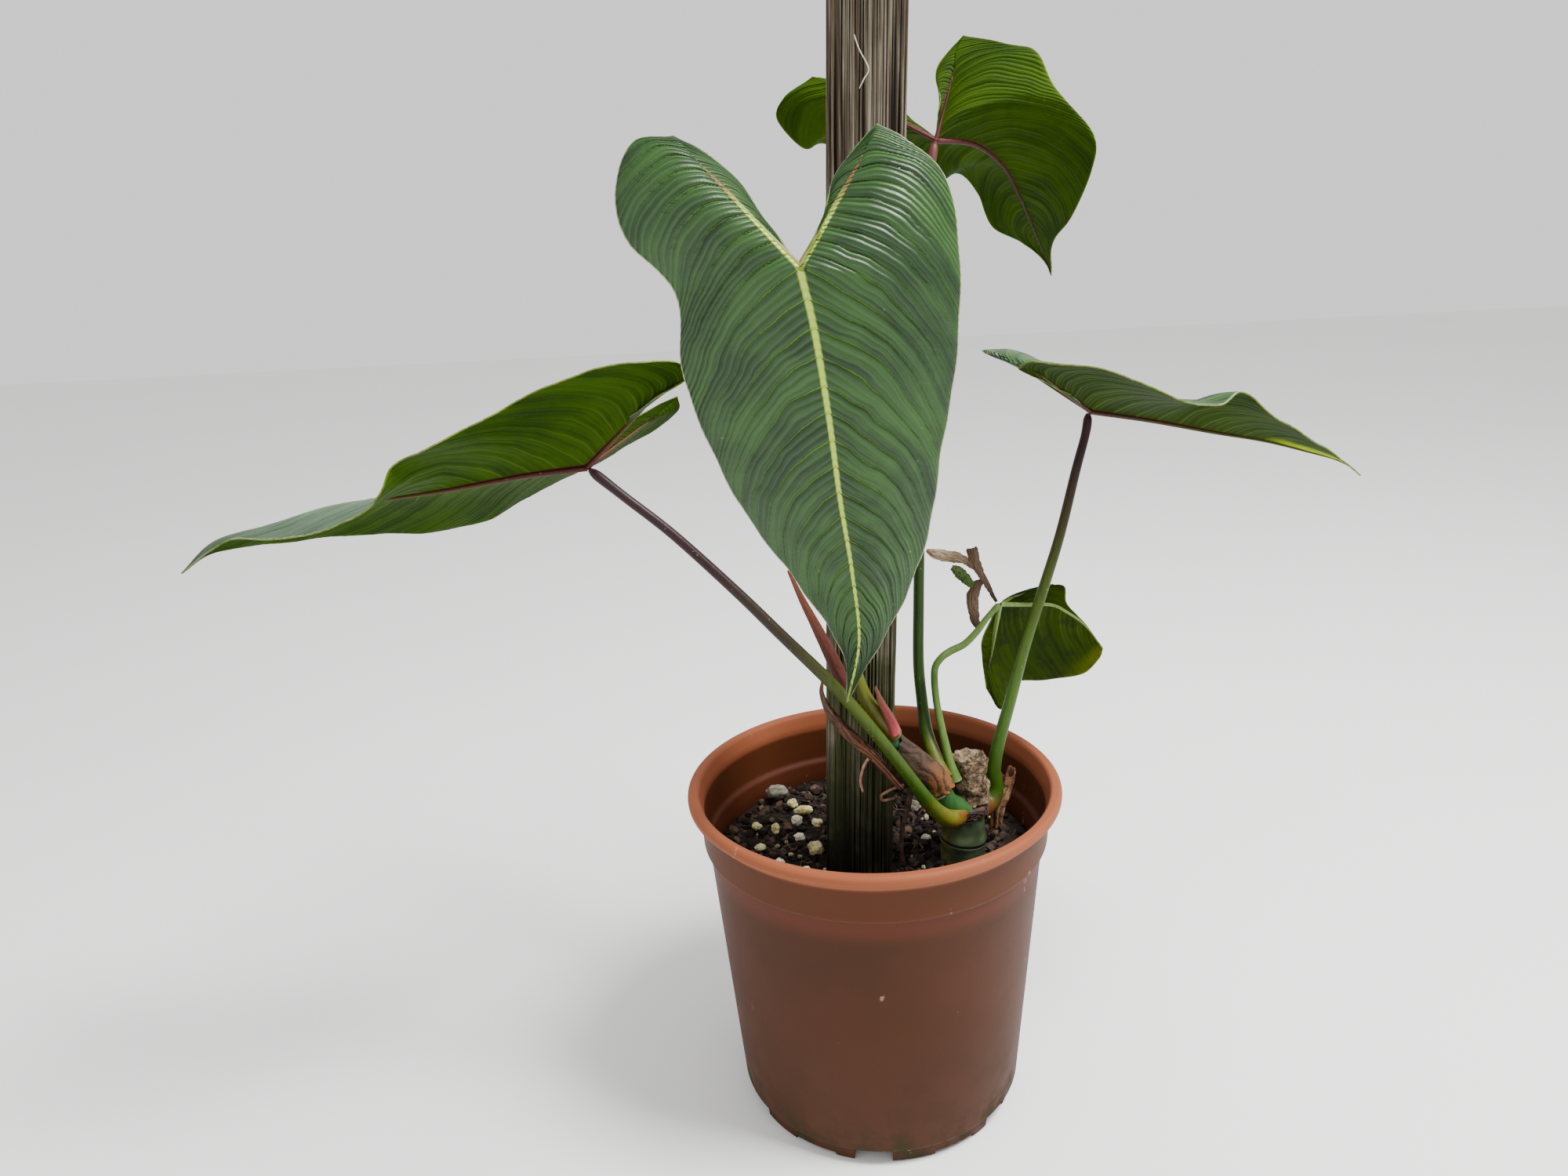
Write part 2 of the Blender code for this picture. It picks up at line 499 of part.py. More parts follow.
def make_stones():
    """Rounded, slightly lumpy pumice grains lying on the mix."""
    dice = random.Random(5)
    for name, (x, y, length, width, height, turn) in STONES.items():
        bpy.ops.mesh.primitive_ico_sphere_add(subdivisions=2, radius=0.5)
        colour = (0.5, 0.45, 0.25) if name.startswith("pumice") else (0.2, 0.19, 0.14)
        stone = keep_primitive(name, colour, 0.9)
        spin = Matrix.Rotation(math.radians(turn), 3, "Z")
        for corner in stone.data.vertices:
            lump = 1.0 + dice.uniform(-0.09, 0.09)
            size = Vector((corner.co.x * length, corner.co.y * width, corner.co.z * height)) * lump
            corner.co = spin @ size * MM
        low = min(corner.co.z for corner in stone.data.vertices)
        stone.location = (x * MM, y * MM, (MIX_TOP + GAP) * MM - low)


clear_scene()
make_pot()
make_mix()
make_stake()
make_stem()
make_shoot()
make_stalks()
for leaf_name in BLADES:
    blade(leaf_name)
make_sheaths()
make_roots()
make_stones()
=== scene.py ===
import math
import random

import bmesh
import bpy
import numpy as np
from mathutils import Euler, Matrix, Vector, noise


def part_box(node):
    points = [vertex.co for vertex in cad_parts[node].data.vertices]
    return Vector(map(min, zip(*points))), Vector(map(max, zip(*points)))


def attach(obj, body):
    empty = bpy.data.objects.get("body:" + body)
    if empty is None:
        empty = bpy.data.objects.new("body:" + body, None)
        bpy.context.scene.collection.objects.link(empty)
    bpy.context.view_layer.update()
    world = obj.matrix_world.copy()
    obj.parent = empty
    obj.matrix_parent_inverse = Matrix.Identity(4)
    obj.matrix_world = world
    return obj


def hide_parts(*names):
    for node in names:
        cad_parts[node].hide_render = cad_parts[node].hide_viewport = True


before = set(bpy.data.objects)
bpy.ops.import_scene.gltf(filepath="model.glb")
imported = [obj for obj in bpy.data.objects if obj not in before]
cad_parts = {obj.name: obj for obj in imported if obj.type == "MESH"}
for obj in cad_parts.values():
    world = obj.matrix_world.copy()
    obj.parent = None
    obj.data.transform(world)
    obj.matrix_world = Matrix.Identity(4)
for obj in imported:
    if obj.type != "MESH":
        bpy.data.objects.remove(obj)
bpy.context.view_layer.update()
mm = 0.001
dice = random.Random(11)
print("frame loaded,", len(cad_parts), "nodes")


# A shader socket that can be used in plain arithmetic: each operator adds one Math node.
class Wire:
    def __init__(self, finish, socket):
        self.finish = finish
        self.socket = socket

    def port(self, name):  # another output of the same node
        return Wire(self.finish, self.socket.node.outputs[name])

    def sum(self, kind, *parts):
        return self.finish.node("ShaderNodeMath", {"operation": kind}, dict(enumerate(parts)))

    def __add__(self, other):
        return self.sum("ADD", self, other)

    def __radd__(self, other):
        return self.sum("ADD", other, self)

    def __sub__(self, other):
        return self.sum("SUBTRACT", self, other)

    def __rsub__(self, other):
        return self.sum("SUBTRACT", other, self)

    def __mul__(self, other):
        return self.sum("MULTIPLY", self, other)

    def __rmul__(self, other):
        return self.sum("MULTIPLY", other, self)

    def __truediv__(self, other):
        return self.sum("DIVIDE", self, other)

    def __rtruediv__(self, other):
        return self.sum("DIVIDE", other, self)

    def __pow__(self, other):
        return self.sum("POWER", self, other)

    def size(self):
        return self.sum("ABSOLUTE", self)

    def nearWhole(self):  # 0 on every whole number, 0.5 half way between
        return (self.sum("FRACT", self + 0.5) - 0.5).size()

    def rise(self, low, high):  # smooth 0 to 1 between two values
        settings = {"interpolation_type": "SMOOTHSTEP"}
        inputs = {"Value": self, "From Min": low, "From Max": high}
        return self.finish.node("ShaderNodeMapRange", settings, inputs)

    def fall(self, low, high):
        return 1 - self.rise(low, high)


class Finish:
    def __init__(self, name, roughness, shine=0.5):
        self.material = bpy.data.materials.new(name)
        self.material.use_nodes = True
        self.tree = self.material.node_tree
        self.shader = self.tree.nodes["Principled BSDF"]
        self.plug(self.shader.inputs["Roughness"], roughness)
        self.shader.inputs["Specular IOR Level"].default_value = shine

    def plug(self, socket, value):
        if isinstance(value, Wire):
            self.tree.links.new(value.socket, socket)
        elif isinstance(value, tuple) and socket.type == "RGBA":
            socket.default_value = (*value[:3], 1.0)
        else:
            socket.default_value = value

    def node(self, kind, settings=None, inputs=None, out=0):
        made = self.tree.nodes.new(kind)
        for name, value in (settings or {}).items():
            if name == "stops":
                ramp = made.color_ramp
                while len(ramp.elements) < len(value):
                    ramp.elements.new(0.5)
                for stop, (place, colour) in zip(ramp.elements, value):
                    stop.position = place
                    stop.color = (*colour, 1.0)
            else:
                setattr(made, name, value)
        for name, value in (inputs or {}).items():
            self.plug(made.inputs[name], value)
        return Wire(self, made.outputs[out])

    def place(self):
        return self.node("ShaderNodeTexCoord", out="Object")

    def stretch(self, vector, by):
        return self.node("ShaderNodeVectorMath", {"operation": "MULTIPLY"}, {0: vector, 1: by})

    def value(self, name):  # a number kept on the mesh
        return self.node("ShaderNodeAttribute", {"attribute_name": name}, out="Fac")

    def cloud(self, vector, scale, detail=4.0, roughness=0.55, distortion=0.0):
        inputs = {"Vector": vector, "Scale": scale, "Detail": detail, "Roughness": roughness}
        return self.node("ShaderNodeTexNoise", {}, {**inputs, "Distortion": distortion})

    def cells(self, vector, scale, feature="F1"):
        return self.node("ShaderNodeTexVoronoi", {"feature": feature}, {"Vector": vector, "Scale": scale})

    def ramp(self, value, stops):
        return self.node("ShaderNodeValToRGB", {"stops": stops}, {0: value})

    def blend(self, first, second, share, kind="MIX"):
        settings = {"data_type": "RGBA", "blend_type": kind}
        return self.node("ShaderNodeMix", settings, {0: share, 6: first, 7: second}, out=2)

    def wear(self, colour, roughness, bumps=()):  # bumps: (height, distance in mm), laid in turn
        self.plug(self.shader.inputs["Base Color"], colour)
        self.plug(self.shader.inputs["Roughness"], roughness)
        under = {}
        for height, distance in bumps:
            inputs = {"Height": height, "Distance": distance * mm, "Strength": 1.0, **under}
            under = {"Normal": self.node("ShaderNodeBump", {}, inputs)}
        for name, normal in under.items():
            self.plug(self.shader.inputs[name], normal)
        return self


# Shapes are kept as (vertices in mm, faces, numbers per vertex) until they are placed.
def smoothPath(points, count):
    p = np.array(points, float)
    p = np.vstack([2 * p[0] - p[1], p, 2 * p[-1] - p[-2]])
    fine = []
    for i in range(1, len(p) - 2):
        for t in np.linspace(0.0, 1.0, 24, endpoint=False):
            fine.append(0.5 * (2 * p[i] + (p[i + 1] - p[i - 1]) * t
                               + (2 * p[i - 1] - 5 * p[i] + 4 * p[i + 1] - p[i + 2]) * t * t
                               + (3 * p[i] - p[i - 1] - 3 * p[i + 1] + p[i + 2]) * t ** 3))
    fine.append(p[-2])
    fine = np.array(fine)
    run = np.concatenate([[0.0], np.cumsum(np.linalg.norm(np.diff(fine[:, :3], axis=0), axis=1))])
    even = np.linspace(0.0, run[-1], count)
    return np.stack([np.interp(even, run, fine[:, k]) for k in range(fine.shape[1])], -1)


def waver(point, scale, seed=0.0):  # smooth noise, about -1 to 1
    return noise.noise(Vector(point) * scale + Vector((seed, seed * 0.7 + 3.1, seed * 1.3 - 5.2)))


def ringSpot(angle, reach, centre=(0.0, 0.0)):
    return centre[0] + reach * math.cos(angle), centre[1] + reach * math.sin(angle)


def gridFaces(columns, rows, flip=False, closed=False):
    faces = []
    for i in range(columns - 1):
        for j in range(rows if closed else rows - 1):
            a = i * rows + j
            b = i * rows + (j + 1) % rows
            face = (a, a + rows, b + rows, b)
            faces.append(face[::-1] if flip else face)
    return faces


def merge(shapes):
    vertices, faces, numbers = [], [], {}
    for more, moreFaces, moreNumbers in shapes:
        start = len(vertices)
        vertices.extend(np.asarray(more).tolist())
        faces.extend(tuple(k + start for k in face) for face in moreFaces)
        for name in moreNumbers:
            numbers.setdefault(name, [0.0] * start)
        for name, row in numbers.items():
            row.extend(np.asarray(moreNumbers.get(name, np.zeros(len(more)))).tolist())
    return np.array(vertices), faces, numbers


def makePiece(name, shape, finishes, nodes=(), weld=0.0, thickness=0.0, recalculate=False):
    vertices, faces, numbers = shape
    mesh = bpy.data.meshes.new(name)
    mesh.from_pydata((np.asarray(vertices) * mm).tolist(), [], faces)
    for key, row in numbers.items():
        layer = mesh.attributes.new(key, "FLOAT", "POINT")
        layer.data.foreach_set("value", np.asarray(row, np.float32))
    for finish in finishes:
        mesh.materials.append(finish.material)
    if weld or recalculate:
        work = bmesh.new()
        work.from_mesh(mesh)
        if weld:
            bmesh.ops.remove_doubles(work, verts=work.verts, dist=weld * mm)
            bmesh.ops.dissolve_degenerate(work, edges=work.edges, dist=weld * mm * 0.5)
        if recalculate:
            bmesh.ops.recalc_face_normals(work, faces=work.faces)
        work.to_mesh(mesh)
        work.free()
    mesh.shade_smooth()
    piece = bpy.data.objects.new(name, mesh)
    bpy.context.scene.collection.objects.link(piece)
    if thickness:
        wall = piece.modifiers.new("thickness", "SOLIDIFY")
        wall.thickness = thickness * mm
        wall.offset = 0.0
        wall.material_offset = 1 if len(finishes) > 1 else 0
        wall.material_offset_rim = 2 if len(finishes) > 2 else 0
    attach(piece, "root")
    if nodes:
        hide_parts(*nodes)
    return piece


def middle(node):  # centre of a CAD node's box, in mm
    low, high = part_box(node)
    return (np.array(low) + np.array(high)) / 2 / mm


def settle(vertices, node):  # how far to shift a shape to sit where the node is
    low, high = np.min(vertices, axis=0), np.max(vertices, axis=0)
    return middle(node) - (low + high) / 2


def tube(route, sides, count=None):  # along x, y, z and radius, round at the far end
    route = np.array(route, float)
    if count:
        route = smoothPath(route, count)
    centres, radii = route[:, :3], route[:, 3].copy()
    ahead = np.gradient(centres, axis=0)
    ahead /= np.linalg.norm(ahead, axis=1)[:, None]
    radii[-1] *= 0.45
    radii[-2] *= 0.85
    side = np.cross(ahead[0], (0.31, 0.87, 0.38))
    vertices, along, around = [], [], []
    for i, (centre, radius, axis) in enumerate(zip(centres, radii, ahead)):
        side = side - axis * side.dot(axis)
        side /= np.linalg.norm(side)
        other = np.cross(axis, side)
        for j in range(sides):
            angle = 2 * math.pi * j / sides
            vertices.append(centre + radius * (side * math.cos(angle) + other * math.sin(angle)))
            along.append(i / (len(centres) - 1))
            around.append(abs(2 * j / sides - 1))
    faces = gridFaces(len(centres), sides, flip=True, closed=True)
    faces.append(tuple(range(sides)))
    faces.append(tuple(range(len(vertices) - 1, len(vertices) - sides - 1, -1)))
    return np.array(vertices), faces, {"along": along, "around": around}


def capRing(vertices, faces, start, steps, centre, flip):  # closes a ring with a fan of triangles
    tip = len(vertices)
    vertices.append(centre)
    for j in range(steps):
        a, b = start + j, start + (j + 1) % steps
        faces.append((tip, b, a) if flip else (tip, a, b))


def turned(profile, steps, centre=(0.0, 0.0)):  # (radius, height) points, on the axis at both ends
    inner = profile[1:-1]
    vertices = []
    for radius, height in inner:
        for j in range(steps):
            vertices.append((*ringSpot(2 * math.pi * j / steps, radius, centre), height))
    faces = gridFaces(len(inner), steps, closed=True)
    capRing(vertices, faces, 0, steps, (*centre, profile[0][1]), False)
    capRing(vertices, faces, (len(inner) - 1) * steps, steps, (*centre, profile[-1][1]), True)
    return np.array(vertices), faces, {}


def rounded(profile, reach):  # each corner becomes a short arc
    p = [np.array(point, float) for point in profile]
    soft = [p[0]]
    for before, corner, after in zip(p, p[1:], p[2:]):
        back, forth = before - corner, after - corner
        cut = min(reach, np.linalg.norm(back) * 0.4, np.linalg.norm(forth) * 0.4)
        a = corner + back / np.linalg.norm(back) * cut
        b = corner + forth / np.linalg.norm(forth) * cut
        for t in (0.0, 0.33, 0.67, 1.0):
            soft.append(a * (1 - t) ** 2 + corner * 2 * t * (1 - t) + b * t * t)
    soft.append(p[-1])
    return [tuple(point) for point in soft]


# Pot: the same sizes as the frame's pot, with rounded corners and drain notches.
potSizes = dict(steps=192, wall=1.7, rim=105.0, collar=98.0, bodyTop=94.8, bodyFoot=82.4, collarFoot=165.0,
                footHeight=10.0, floorLow=4.0, floorTop=6.4, cornerRound=1.3, drains=6, drainAngle=262.0,
                drainCuts=[(0.0, 21.0, 8.8), (35.0, 26.0, 2.4)])  # turn in degrees, width, height


# Finishes.  Colours are linear.
potLook = dict(body=(0.05, 0.0135, 0.003), collar=(0.07, 0.019, 0.005), rim=(0.25, 0.072, 0.03),
               inner=(0.075, 0.018, 0.007), shade=(0.032, 0.012, 0.003), dirt=(0.03, 0.024, 0.01),
               scuff=(0.4, 0.24, 0.14), roughness=0.5, shine=0.14)


def potFinish():
    look, s = potLook, potSizes
    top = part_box("pot")[1].z / mm
    f = Finish("terracotta plastic", look["roughness"], look["shine"])
    place = f.place()
    x = f.node("ShaderNodeSeparateXYZ", {}, {0: place}, out="X")
    y, height = x.port("Y"), x.port("Z") / mm
    mottle = f.cloud(place, 14.0, 5.0)
    fine = f.cloud(place, 260.0, 3.0)
    radius = (x * x + y * y) ** 0.5 / mm
    colour = f.blend(look["body"], look["shade"], mottle.rise(0.42, 0.75) * 0.5)
    colour = f.blend(colour, look["collar"], height.rise(s["collarFoot"] - 0.5, s["collarFoot"] + 0.5))
    inside = radius.fall(s["collar"] - 3.5, s["collar"] - 1.5)
    colour = f.blend(colour, look["inner"], height.rise(148.0, 160.0) * inside)
    colour = f.blend(colour, look["rim"], height.rise(top - 12.5, top - 9.5) * 0.9)
    low = height.fall(4.0, 30.0) + height.fall(0.0, 70.0) * 0.35
    dirt = low * f.cloud(place, 55.0, 6.0).rise(0.42, 0.62)
    colour = f.blend(colour, look["dirt"], dirt * 0.85)
    line = f.cloud(f.stretch(place, (1.0, 1.0, 0.35)), 95.0, 2.0).rise(0.7, 0.74)
    scuff = line * f.cloud(place, 520.0, 2.0).rise(0.5, 0.6)
    colour = f.blend(colour, look["scuff"], scuff * 0.5)
    rough = look["roughness"] + mottle * 0.12 + dirt * 0.3 + fine * 0.05
    return f.wear(colour, rough, [(fine, 0.05), (f.cloud(place, 30.0, 2.0), 0.15), (dirt, 0.3)])


# The darkest colour for the stake's foot, and the height it starts below, are painted shade.
stakeLook = dict(dark=(0.007, 0.005, 0.003), brown=(0.055, 0.04, 0.024), grey=(0.17, 0.145, 0.105),
                 pale=(0.3, 0.265, 0.205), algae=(0.022, 0.033, 0.006), footShade=(0.006, 0.005, 0.003),
                 greenBelow=0.57, footShadeBelow=0.22)


def stakeFinish():
    look = stakeLook
    f = Finish("weathered wood", 0.88, 0.2)
    place = f.place()
    height = f.node("ShaderNodeSeparateXYZ", {}, {0: place}, out="Z")
    coarse = f.cloud(f.stretch(place, (190.0, 190.0, 5.0)), 1.0, 5.0, 0.6)
    fibre = f.cloud(f.stretch(place, (700.0, 700.0, 11.0)), 1.0, 4.0, 0.7)
    patch = f.cloud(place, 26.0, 4.0)
    groove = f.value("groove")
    grain = coarse * 0.55 + fibre * 0.45
    stops = [(0.3, look["dark"]), (0.45, look["brown"]), (0.57, look["grey"]), (0.7, look["pale"])]
    colour = f.ramp(grain, stops)
    colour = f.blend(colour, look["brown"], patch.rise(0.45, 0.7) * 0.45)
    green = height.fall(0.22, look["greenBelow"]) * (0.35 + patch.rise(0.35, 0.62) * 0.65)
    colour = f.blend(colour, look["algae"], green * 0.78)
    # painted shade: the furrows are darkened by their depth
    colour = f.blend(colour, look["dark"], groove.rise(0.25, 0.95) * 0.9)
    # painted shade: the stake darkens towards its foot, and is less rough there
    footShade = height.fall(0.155, look["footShadeBelow"]) * f.cloud(place, 45.0, 3.0).rise(0.25, 0.5)
    colour = f.blend(colour, look["footShade"], footShade * 0.92)
    return f.wear(colour, 0.95 - footShade * 0.4, [(coarse, 0.8), (fibre, 0.5)])


def leafFinish(name, look):
    f = Finish(name, look["roughness"], look["shine"])
    place = f.place()
    vein, across = f.value("vein"), f.value("across")
    fromRib, fromEdge, along = f.value("fromRib"), f.value("fromEdge"), f.value("along")
    wander = f.cloud(place, 60.0, 2.0)
    phase = vein + (wander - 0.5) * 0.18
    main = phase.nearWhole()
    small = (phase * look["pleats"]).nearWhole()
    tone = f.cloud(place, 34.0, 5.0)
    lanes = {0: phase * 1.6, 1: across * 0.7, 2: f.value("half") * 9.0}
    bands = f.cloud(f.node("ShaderNodeCombineXYZ", {}, lanes), 1.0, 3.0, 0.6)
    colour = f.blend(look["deep"], look["mid"], (tone * 0.45 + bands * 0.55).rise(0.34, 0.64))
    colour = f.blend(colour, look["pale"], small.fall(0.0, 0.3) * look["pleatShow"])
    reach = main.fall(0.0, look["veinWidth"]) * across.fall(0.15, 0.85)
    colour = f.blend(colour, look["vein"], reach * look["veinShow"])
    if "blotch" in look:
        colour = f.blend(colour, look["blotch"], f.cloud(place, 75.0, 3.0).rise(0.5, 0.66) * 0.6)
    if "glow" in look:  # thin parts that light comes through
        glow = along.rise(*look["glowAlong"]) * f.value(look["glowFrom"]).fall(1.5, look["glowReach"])
        colour = f.blend(colour, look["glow"], glow * f.cloud(place, 40.0, 3.0).rise(0.2, 0.5))
    specks = f.cells(place, 95.0).fall(0.05, 0.075) * tone.rise(0.5, 0.62)
    colour = f.blend(colour, look["speck"], specks * 0.5)
    ribWide = look["ribWidth"] * (1.15 - along)
    rib = (fromRib / (ribWide + 0.25)).fall(0.55, 1.25)
    ribColour = f.blend(look["rib"], look["ribBase"], f.value("lobe").rise(0.35, 0.8))
    colour = f.blend(colour, ribColour, rib * look["ribShow"])
    edge = fromEdge.fall(look["marginWidth"] * 0.4, look["marginWidth"])
    colour = f.blend(colour, look["margin"], edge * look["marginShow"])
    rough = look["roughness"] + tone * 0.1 - 0.05 + rib * 0.08
    heights = [(small.rise(0.0, 0.5) ** 0.6, look["pleatDepth"]), (reach, look["veinRelief"]),
               (f.cloud(place, 900.0, 2.0), 0.04), (rib, look["ribRelief"])]
    return f.wear(colour, rough, heights)


upperLook = dict(
    deep=(0.003, 0.019, 0.003), mid=(0.026, 0.08, 0.013), pale=(0.055, 0.125, 0.026), vein=(0.11, 0.22, 0.02),
    rib=(0.4, 0.56, 0.06), ribBase=(0.17, 0.09, 0.03), margin=(0.5, 0.55, 0.3), speck=(0.25, 0.36, 0.15),
    roughness=0.4, shine=0.33, pleats=3.0, pleatShow=0.3, veinWidth=0.06, veinShow=0.7, ribWidth=1.35,
    ribShow=1.0, marginWidth=0.6, marginShow=0.6, pleatDepth=0.5, veinRelief=-0.3, ribRelief=0.5)
underLook = dict(
    deep=(0.009, 0.027, 0.0002), mid=(0.026, 0.062, 0.0005), pale=(0.042, 0.085, 0.001),
    vein=(0.055, 0.09, 0.006), rib=(0.05, 0.02, 0.008), ribBase=(0.05, 0.01, 0.008),
    margin=(0.12, 0.16, 0.02), speck=(0.1, 0.13, 0.03), roughness=0.66, shine=0.06, pleats=3.0,
    pleatShow=0.2, veinWidth=0.09, veinShow=0.55, ribWidth=1.5, ribShow=0.9, marginWidth=0.7,
    marginShow=0.5, pleatDepth=0.3, veinRelief=0.35, ribRelief=0.3)
marginLook = dict(light=(0.15, 0.21, 0.045), dark=(0.1, 0.12, 0.025))


def marginFinish():
    f = Finish("leaf margin", 0.5, 0.1)
    tone = f.cloud(f.place(), 300.0, 3.0)
    return f.wear(f.blend(marginLook["light"], marginLook["dark"], tone.rise(0.4, 0.6)), 0.5, [(tone, 0.1)])


def stalkFinish(name, stops, roughness=0.36):  # stops run from the stalk's base to its joint
    f = Finish(name, roughness, 0.2)
    along, around = f.value("along"), f.value("around")
    place = f.place()
    streaks = f.cloud(f.stretch(place, (420.0, 420.0, 30.0)), 1.0, 3.0)
    mottle = f.cloud(place, 120.0, 4.0)
    colour = f.ramp(along + (mottle - 0.5) * 0.1, stops)
    colour = f.blend(colour, (0.35, 0.35, 0.3), streaks.rise(0.48, 0.7) * 0.35, "MULTIPLY")
    # painted highlight: one side of the stalk is lightened
    colour = f.blend(colour, (1.9, 1.8, 1.5), around.rise(0.7, 1.0) * 0.2, "MULTIPLY")
    specks = f.cells(place, 330.0).fall(0.1, 0.16) * mottle.rise(0.5, 0.6)
    colour = f.blend(colour, (0.3, 0.32, 0.16), specks * 0.35)
    return f.wear(colour, roughness + mottle * 0.15, [(streaks, 0.15), (mottle, 0.12)])


def huskFinish(name, stops, dark, roughness, ridges, show, relief):
    f = Finish(name, roughness, 0.25)
    along, around = f.value("along"), f.value("around")
    place = f.place()
    mottle = f.cloud(place, 130.0, 5.0)
    line = (around * ridges + (f.cloud(place, 60.0, 4.0) - 0.5) * 4.5).nearWhole()
    fibre = f.cloud(place, 300.0, 6.0, 0.7)
    colour = f.ramp(along + (mottle - 0.5) * 0.25, stops)
    colour = f.blend(colour, dark, line.fall(0.02, 0.3) * show)
    colour = f.blend(colour, dark, fibre.rise(0.52, 0.75) * show * 0.6)
    return f.wear(colour, roughness + mottle * 0.2, [(line.rise(0.0, 0.4), relief), (fibre, 0.3)])


corkLook = dict(dark=(0.016, 0.009, 0.005), tan=(0.12, 0.075, 0.038), pale=(0.34, 0.27, 0.18),
                scar=(0.5, 0.2, 0.17))


def corkFinish():
    look = corkLook
    f = Finish("cork and old bark", 0.92, 0.25)
    place = f.place()
    crumb = f.cloud(place, 210.0, 6.0, 0.7)
    patch = f.cloud(place, 75.0, 3.0)
    colour = f.ramp(crumb * 0.7 + patch * 0.3, [(0.4, look["dark"]), (0.5, look["tan"]),
                                                (0.6, look["pale"])])
    colour = f.blend(colour, look["scar"], f.value("scar") * crumb.rise(0.35, 0.55))
    pits = f.cells(place, 520.0).fall(0.1, 0.4)
    return f.wear(colour, 0.95 - patch * 0.1, [(crumb, 2.2), (pits, 0.5)])


def barkRingFinish():
    f = Finish("old leaf-scar fibre", 0.85, 0.25)
    place = f.place()
    band = f.cloud(f.stretch(place, (90.0, 90.0, 1300.0)), 1.0, 4.0, 0.7)
    stops = [(0.35, (0.012, 0.007, 0.006)), (0.55, (0.05, 0.028, 0.022)), (0.72, (0.16, 0.095, 0.06))]
    return f.wear(f.ramp(band, stops), 0.85, [(band, 0.8)])


def footFinish():
    f = Finish("stem foot", 0.45, 0.35)
    place = f.place()
    x = f.node("ShaderNodeSeparateXYZ", {}, {0: place}, out="X")
    tone = f.cloud(place, 90.0, 5.0)
    colour = f.blend((0.02, 0.032, 0.016), (0.05, 0.07, 0.03), tone.rise(0.35, 0.7))
    left = x.fall(0.0375, 0.0445) * tone.rise(0.25, 0.5)
    colour = f.blend(colour, (0.2, 0.17, 0.035), left * 0.55)
    ring = (x.port("Z") + x * 0.12 - 0.1701).size()  # distance from a sloping node ring
    colour = f.blend(colour, (0.009, 0.006, 0.004), ring.fall(0.0004, 0.0009) * 0.9)
    colour = f.blend(colour, (0.1, 0.085, 0.05), f.cells(place, 300.0).fall(0.08, 0.2) * 0.3)
    return f.wear(colour, 0.42 + tone * 0.2, [(tone, 0.3), (ring.fall(0.0003, 0.0012), -0.6)])


def mixFinish():
    f = Finish("bark and peat mix", 0.9, 0.25)
    place = f.place()
    tone = f.value("tone")
    grit = f.cloud(place, 650.0, 5.0, 0.7)
    stops = [(0.0, (0.012, 0.008, 0.006)), (0.45, (0.035, 0.022, 0.016)), (0.75, (0.075, 0.048, 0.034)),
             (0.9, (0.13, 0.082, 0.055)), (0.945, (0.15, 0.095, 0.06)), (0.96, (0.5, 0.44, 0.2)),
             (1.0, (0.62, 0.57, 0.36))]
    colour = f.ramp(tone, stops)
    colour = f.blend(colour, (0.3, 0.3, 0.3), grit.rise(0.4, 0.65) * 0.6, "MULTIPLY")
    return f.wear(colour, 0.75 + grit * 0.25, [(grit, 0.5), (f.cloud(place, 220.0, 3.0), 0.6)])


def stoneFinish(name, light, mid, dark):
    f = Finish(name, 0.92)
    place = f.place()
    patch = f.cloud(place, 190.0, 4.0)
    grain = f.cloud(place, 900.0, 4.0, 0.7)
    colour = f.ramp(patch * 0.6 + grain * 0.4, [(0.36, dark), (0.48, mid), (0.6, light)])
    pits = f.cells(place, 900.0).fall(0.12, 0.32) * grain.rise(0.45, 0.6)
    colour = f.blend(colour, dark, pits * 0.8)
    return f.wear(colour, 0.95, [(pits, -0.35), (grain, 0.3)])


def rootFinish(name, first, second):
    f = Finish(name, 0.8)
    place = f.place()
    rind = f.cloud(place, 260.0, 5.0, 0.7)
    return f.wear(f.blend(first, second, rind.rise(0.38, 0.62)), 0.8, [(rind, 0.4)])


greenShoot = [(0.0, (0.03, 0.09, 0.02)), (0.35, (0.02, 0.08, 0.018)), (0.7, (0.015, 0.09, 0.045)),
              (1.0, (0.03, 0.12, 0.06))]
finishes = dict(
    pot=potFinish(), stake=stakeFinish(), margin=marginFinish(), cork=corkFinish(), ring=barkRingFinish(),
    foot=footFinish(), mix=mixFinish(), shoot=stalkFinish("green shoot", greenShoot, 0.4),
    pumice=stoneFinish("pumice", (0.85, 0.8, 0.5), (0.68, 0.6, 0.26), (0.26, 0.2, 0.06)),
    pumiceWhite=stoneFinish("white pumice", (0.9, 0.88, 0.74), (0.78, 0.73, 0.52), (0.3, 0.25, 0.13)),
    pebble=stoneFinish("pebble", (0.3, 0.28, 0.22), (0.16, 0.15, 0.1), (0.06, 0.055, 0.035)),
    root=rootFinish("brown root", (0.1, 0.045, 0.025), (0.24, 0.13, 0.075)),
    darkRoot=rootFinish("dark root", (0.03, 0.013, 0.009), (0.1, 0.05, 0.03)),
    thread=rootFinish("pale thread", (0.42, 0.37, 0.29), (0.6, 0.55, 0.46)))
print("finishes made")


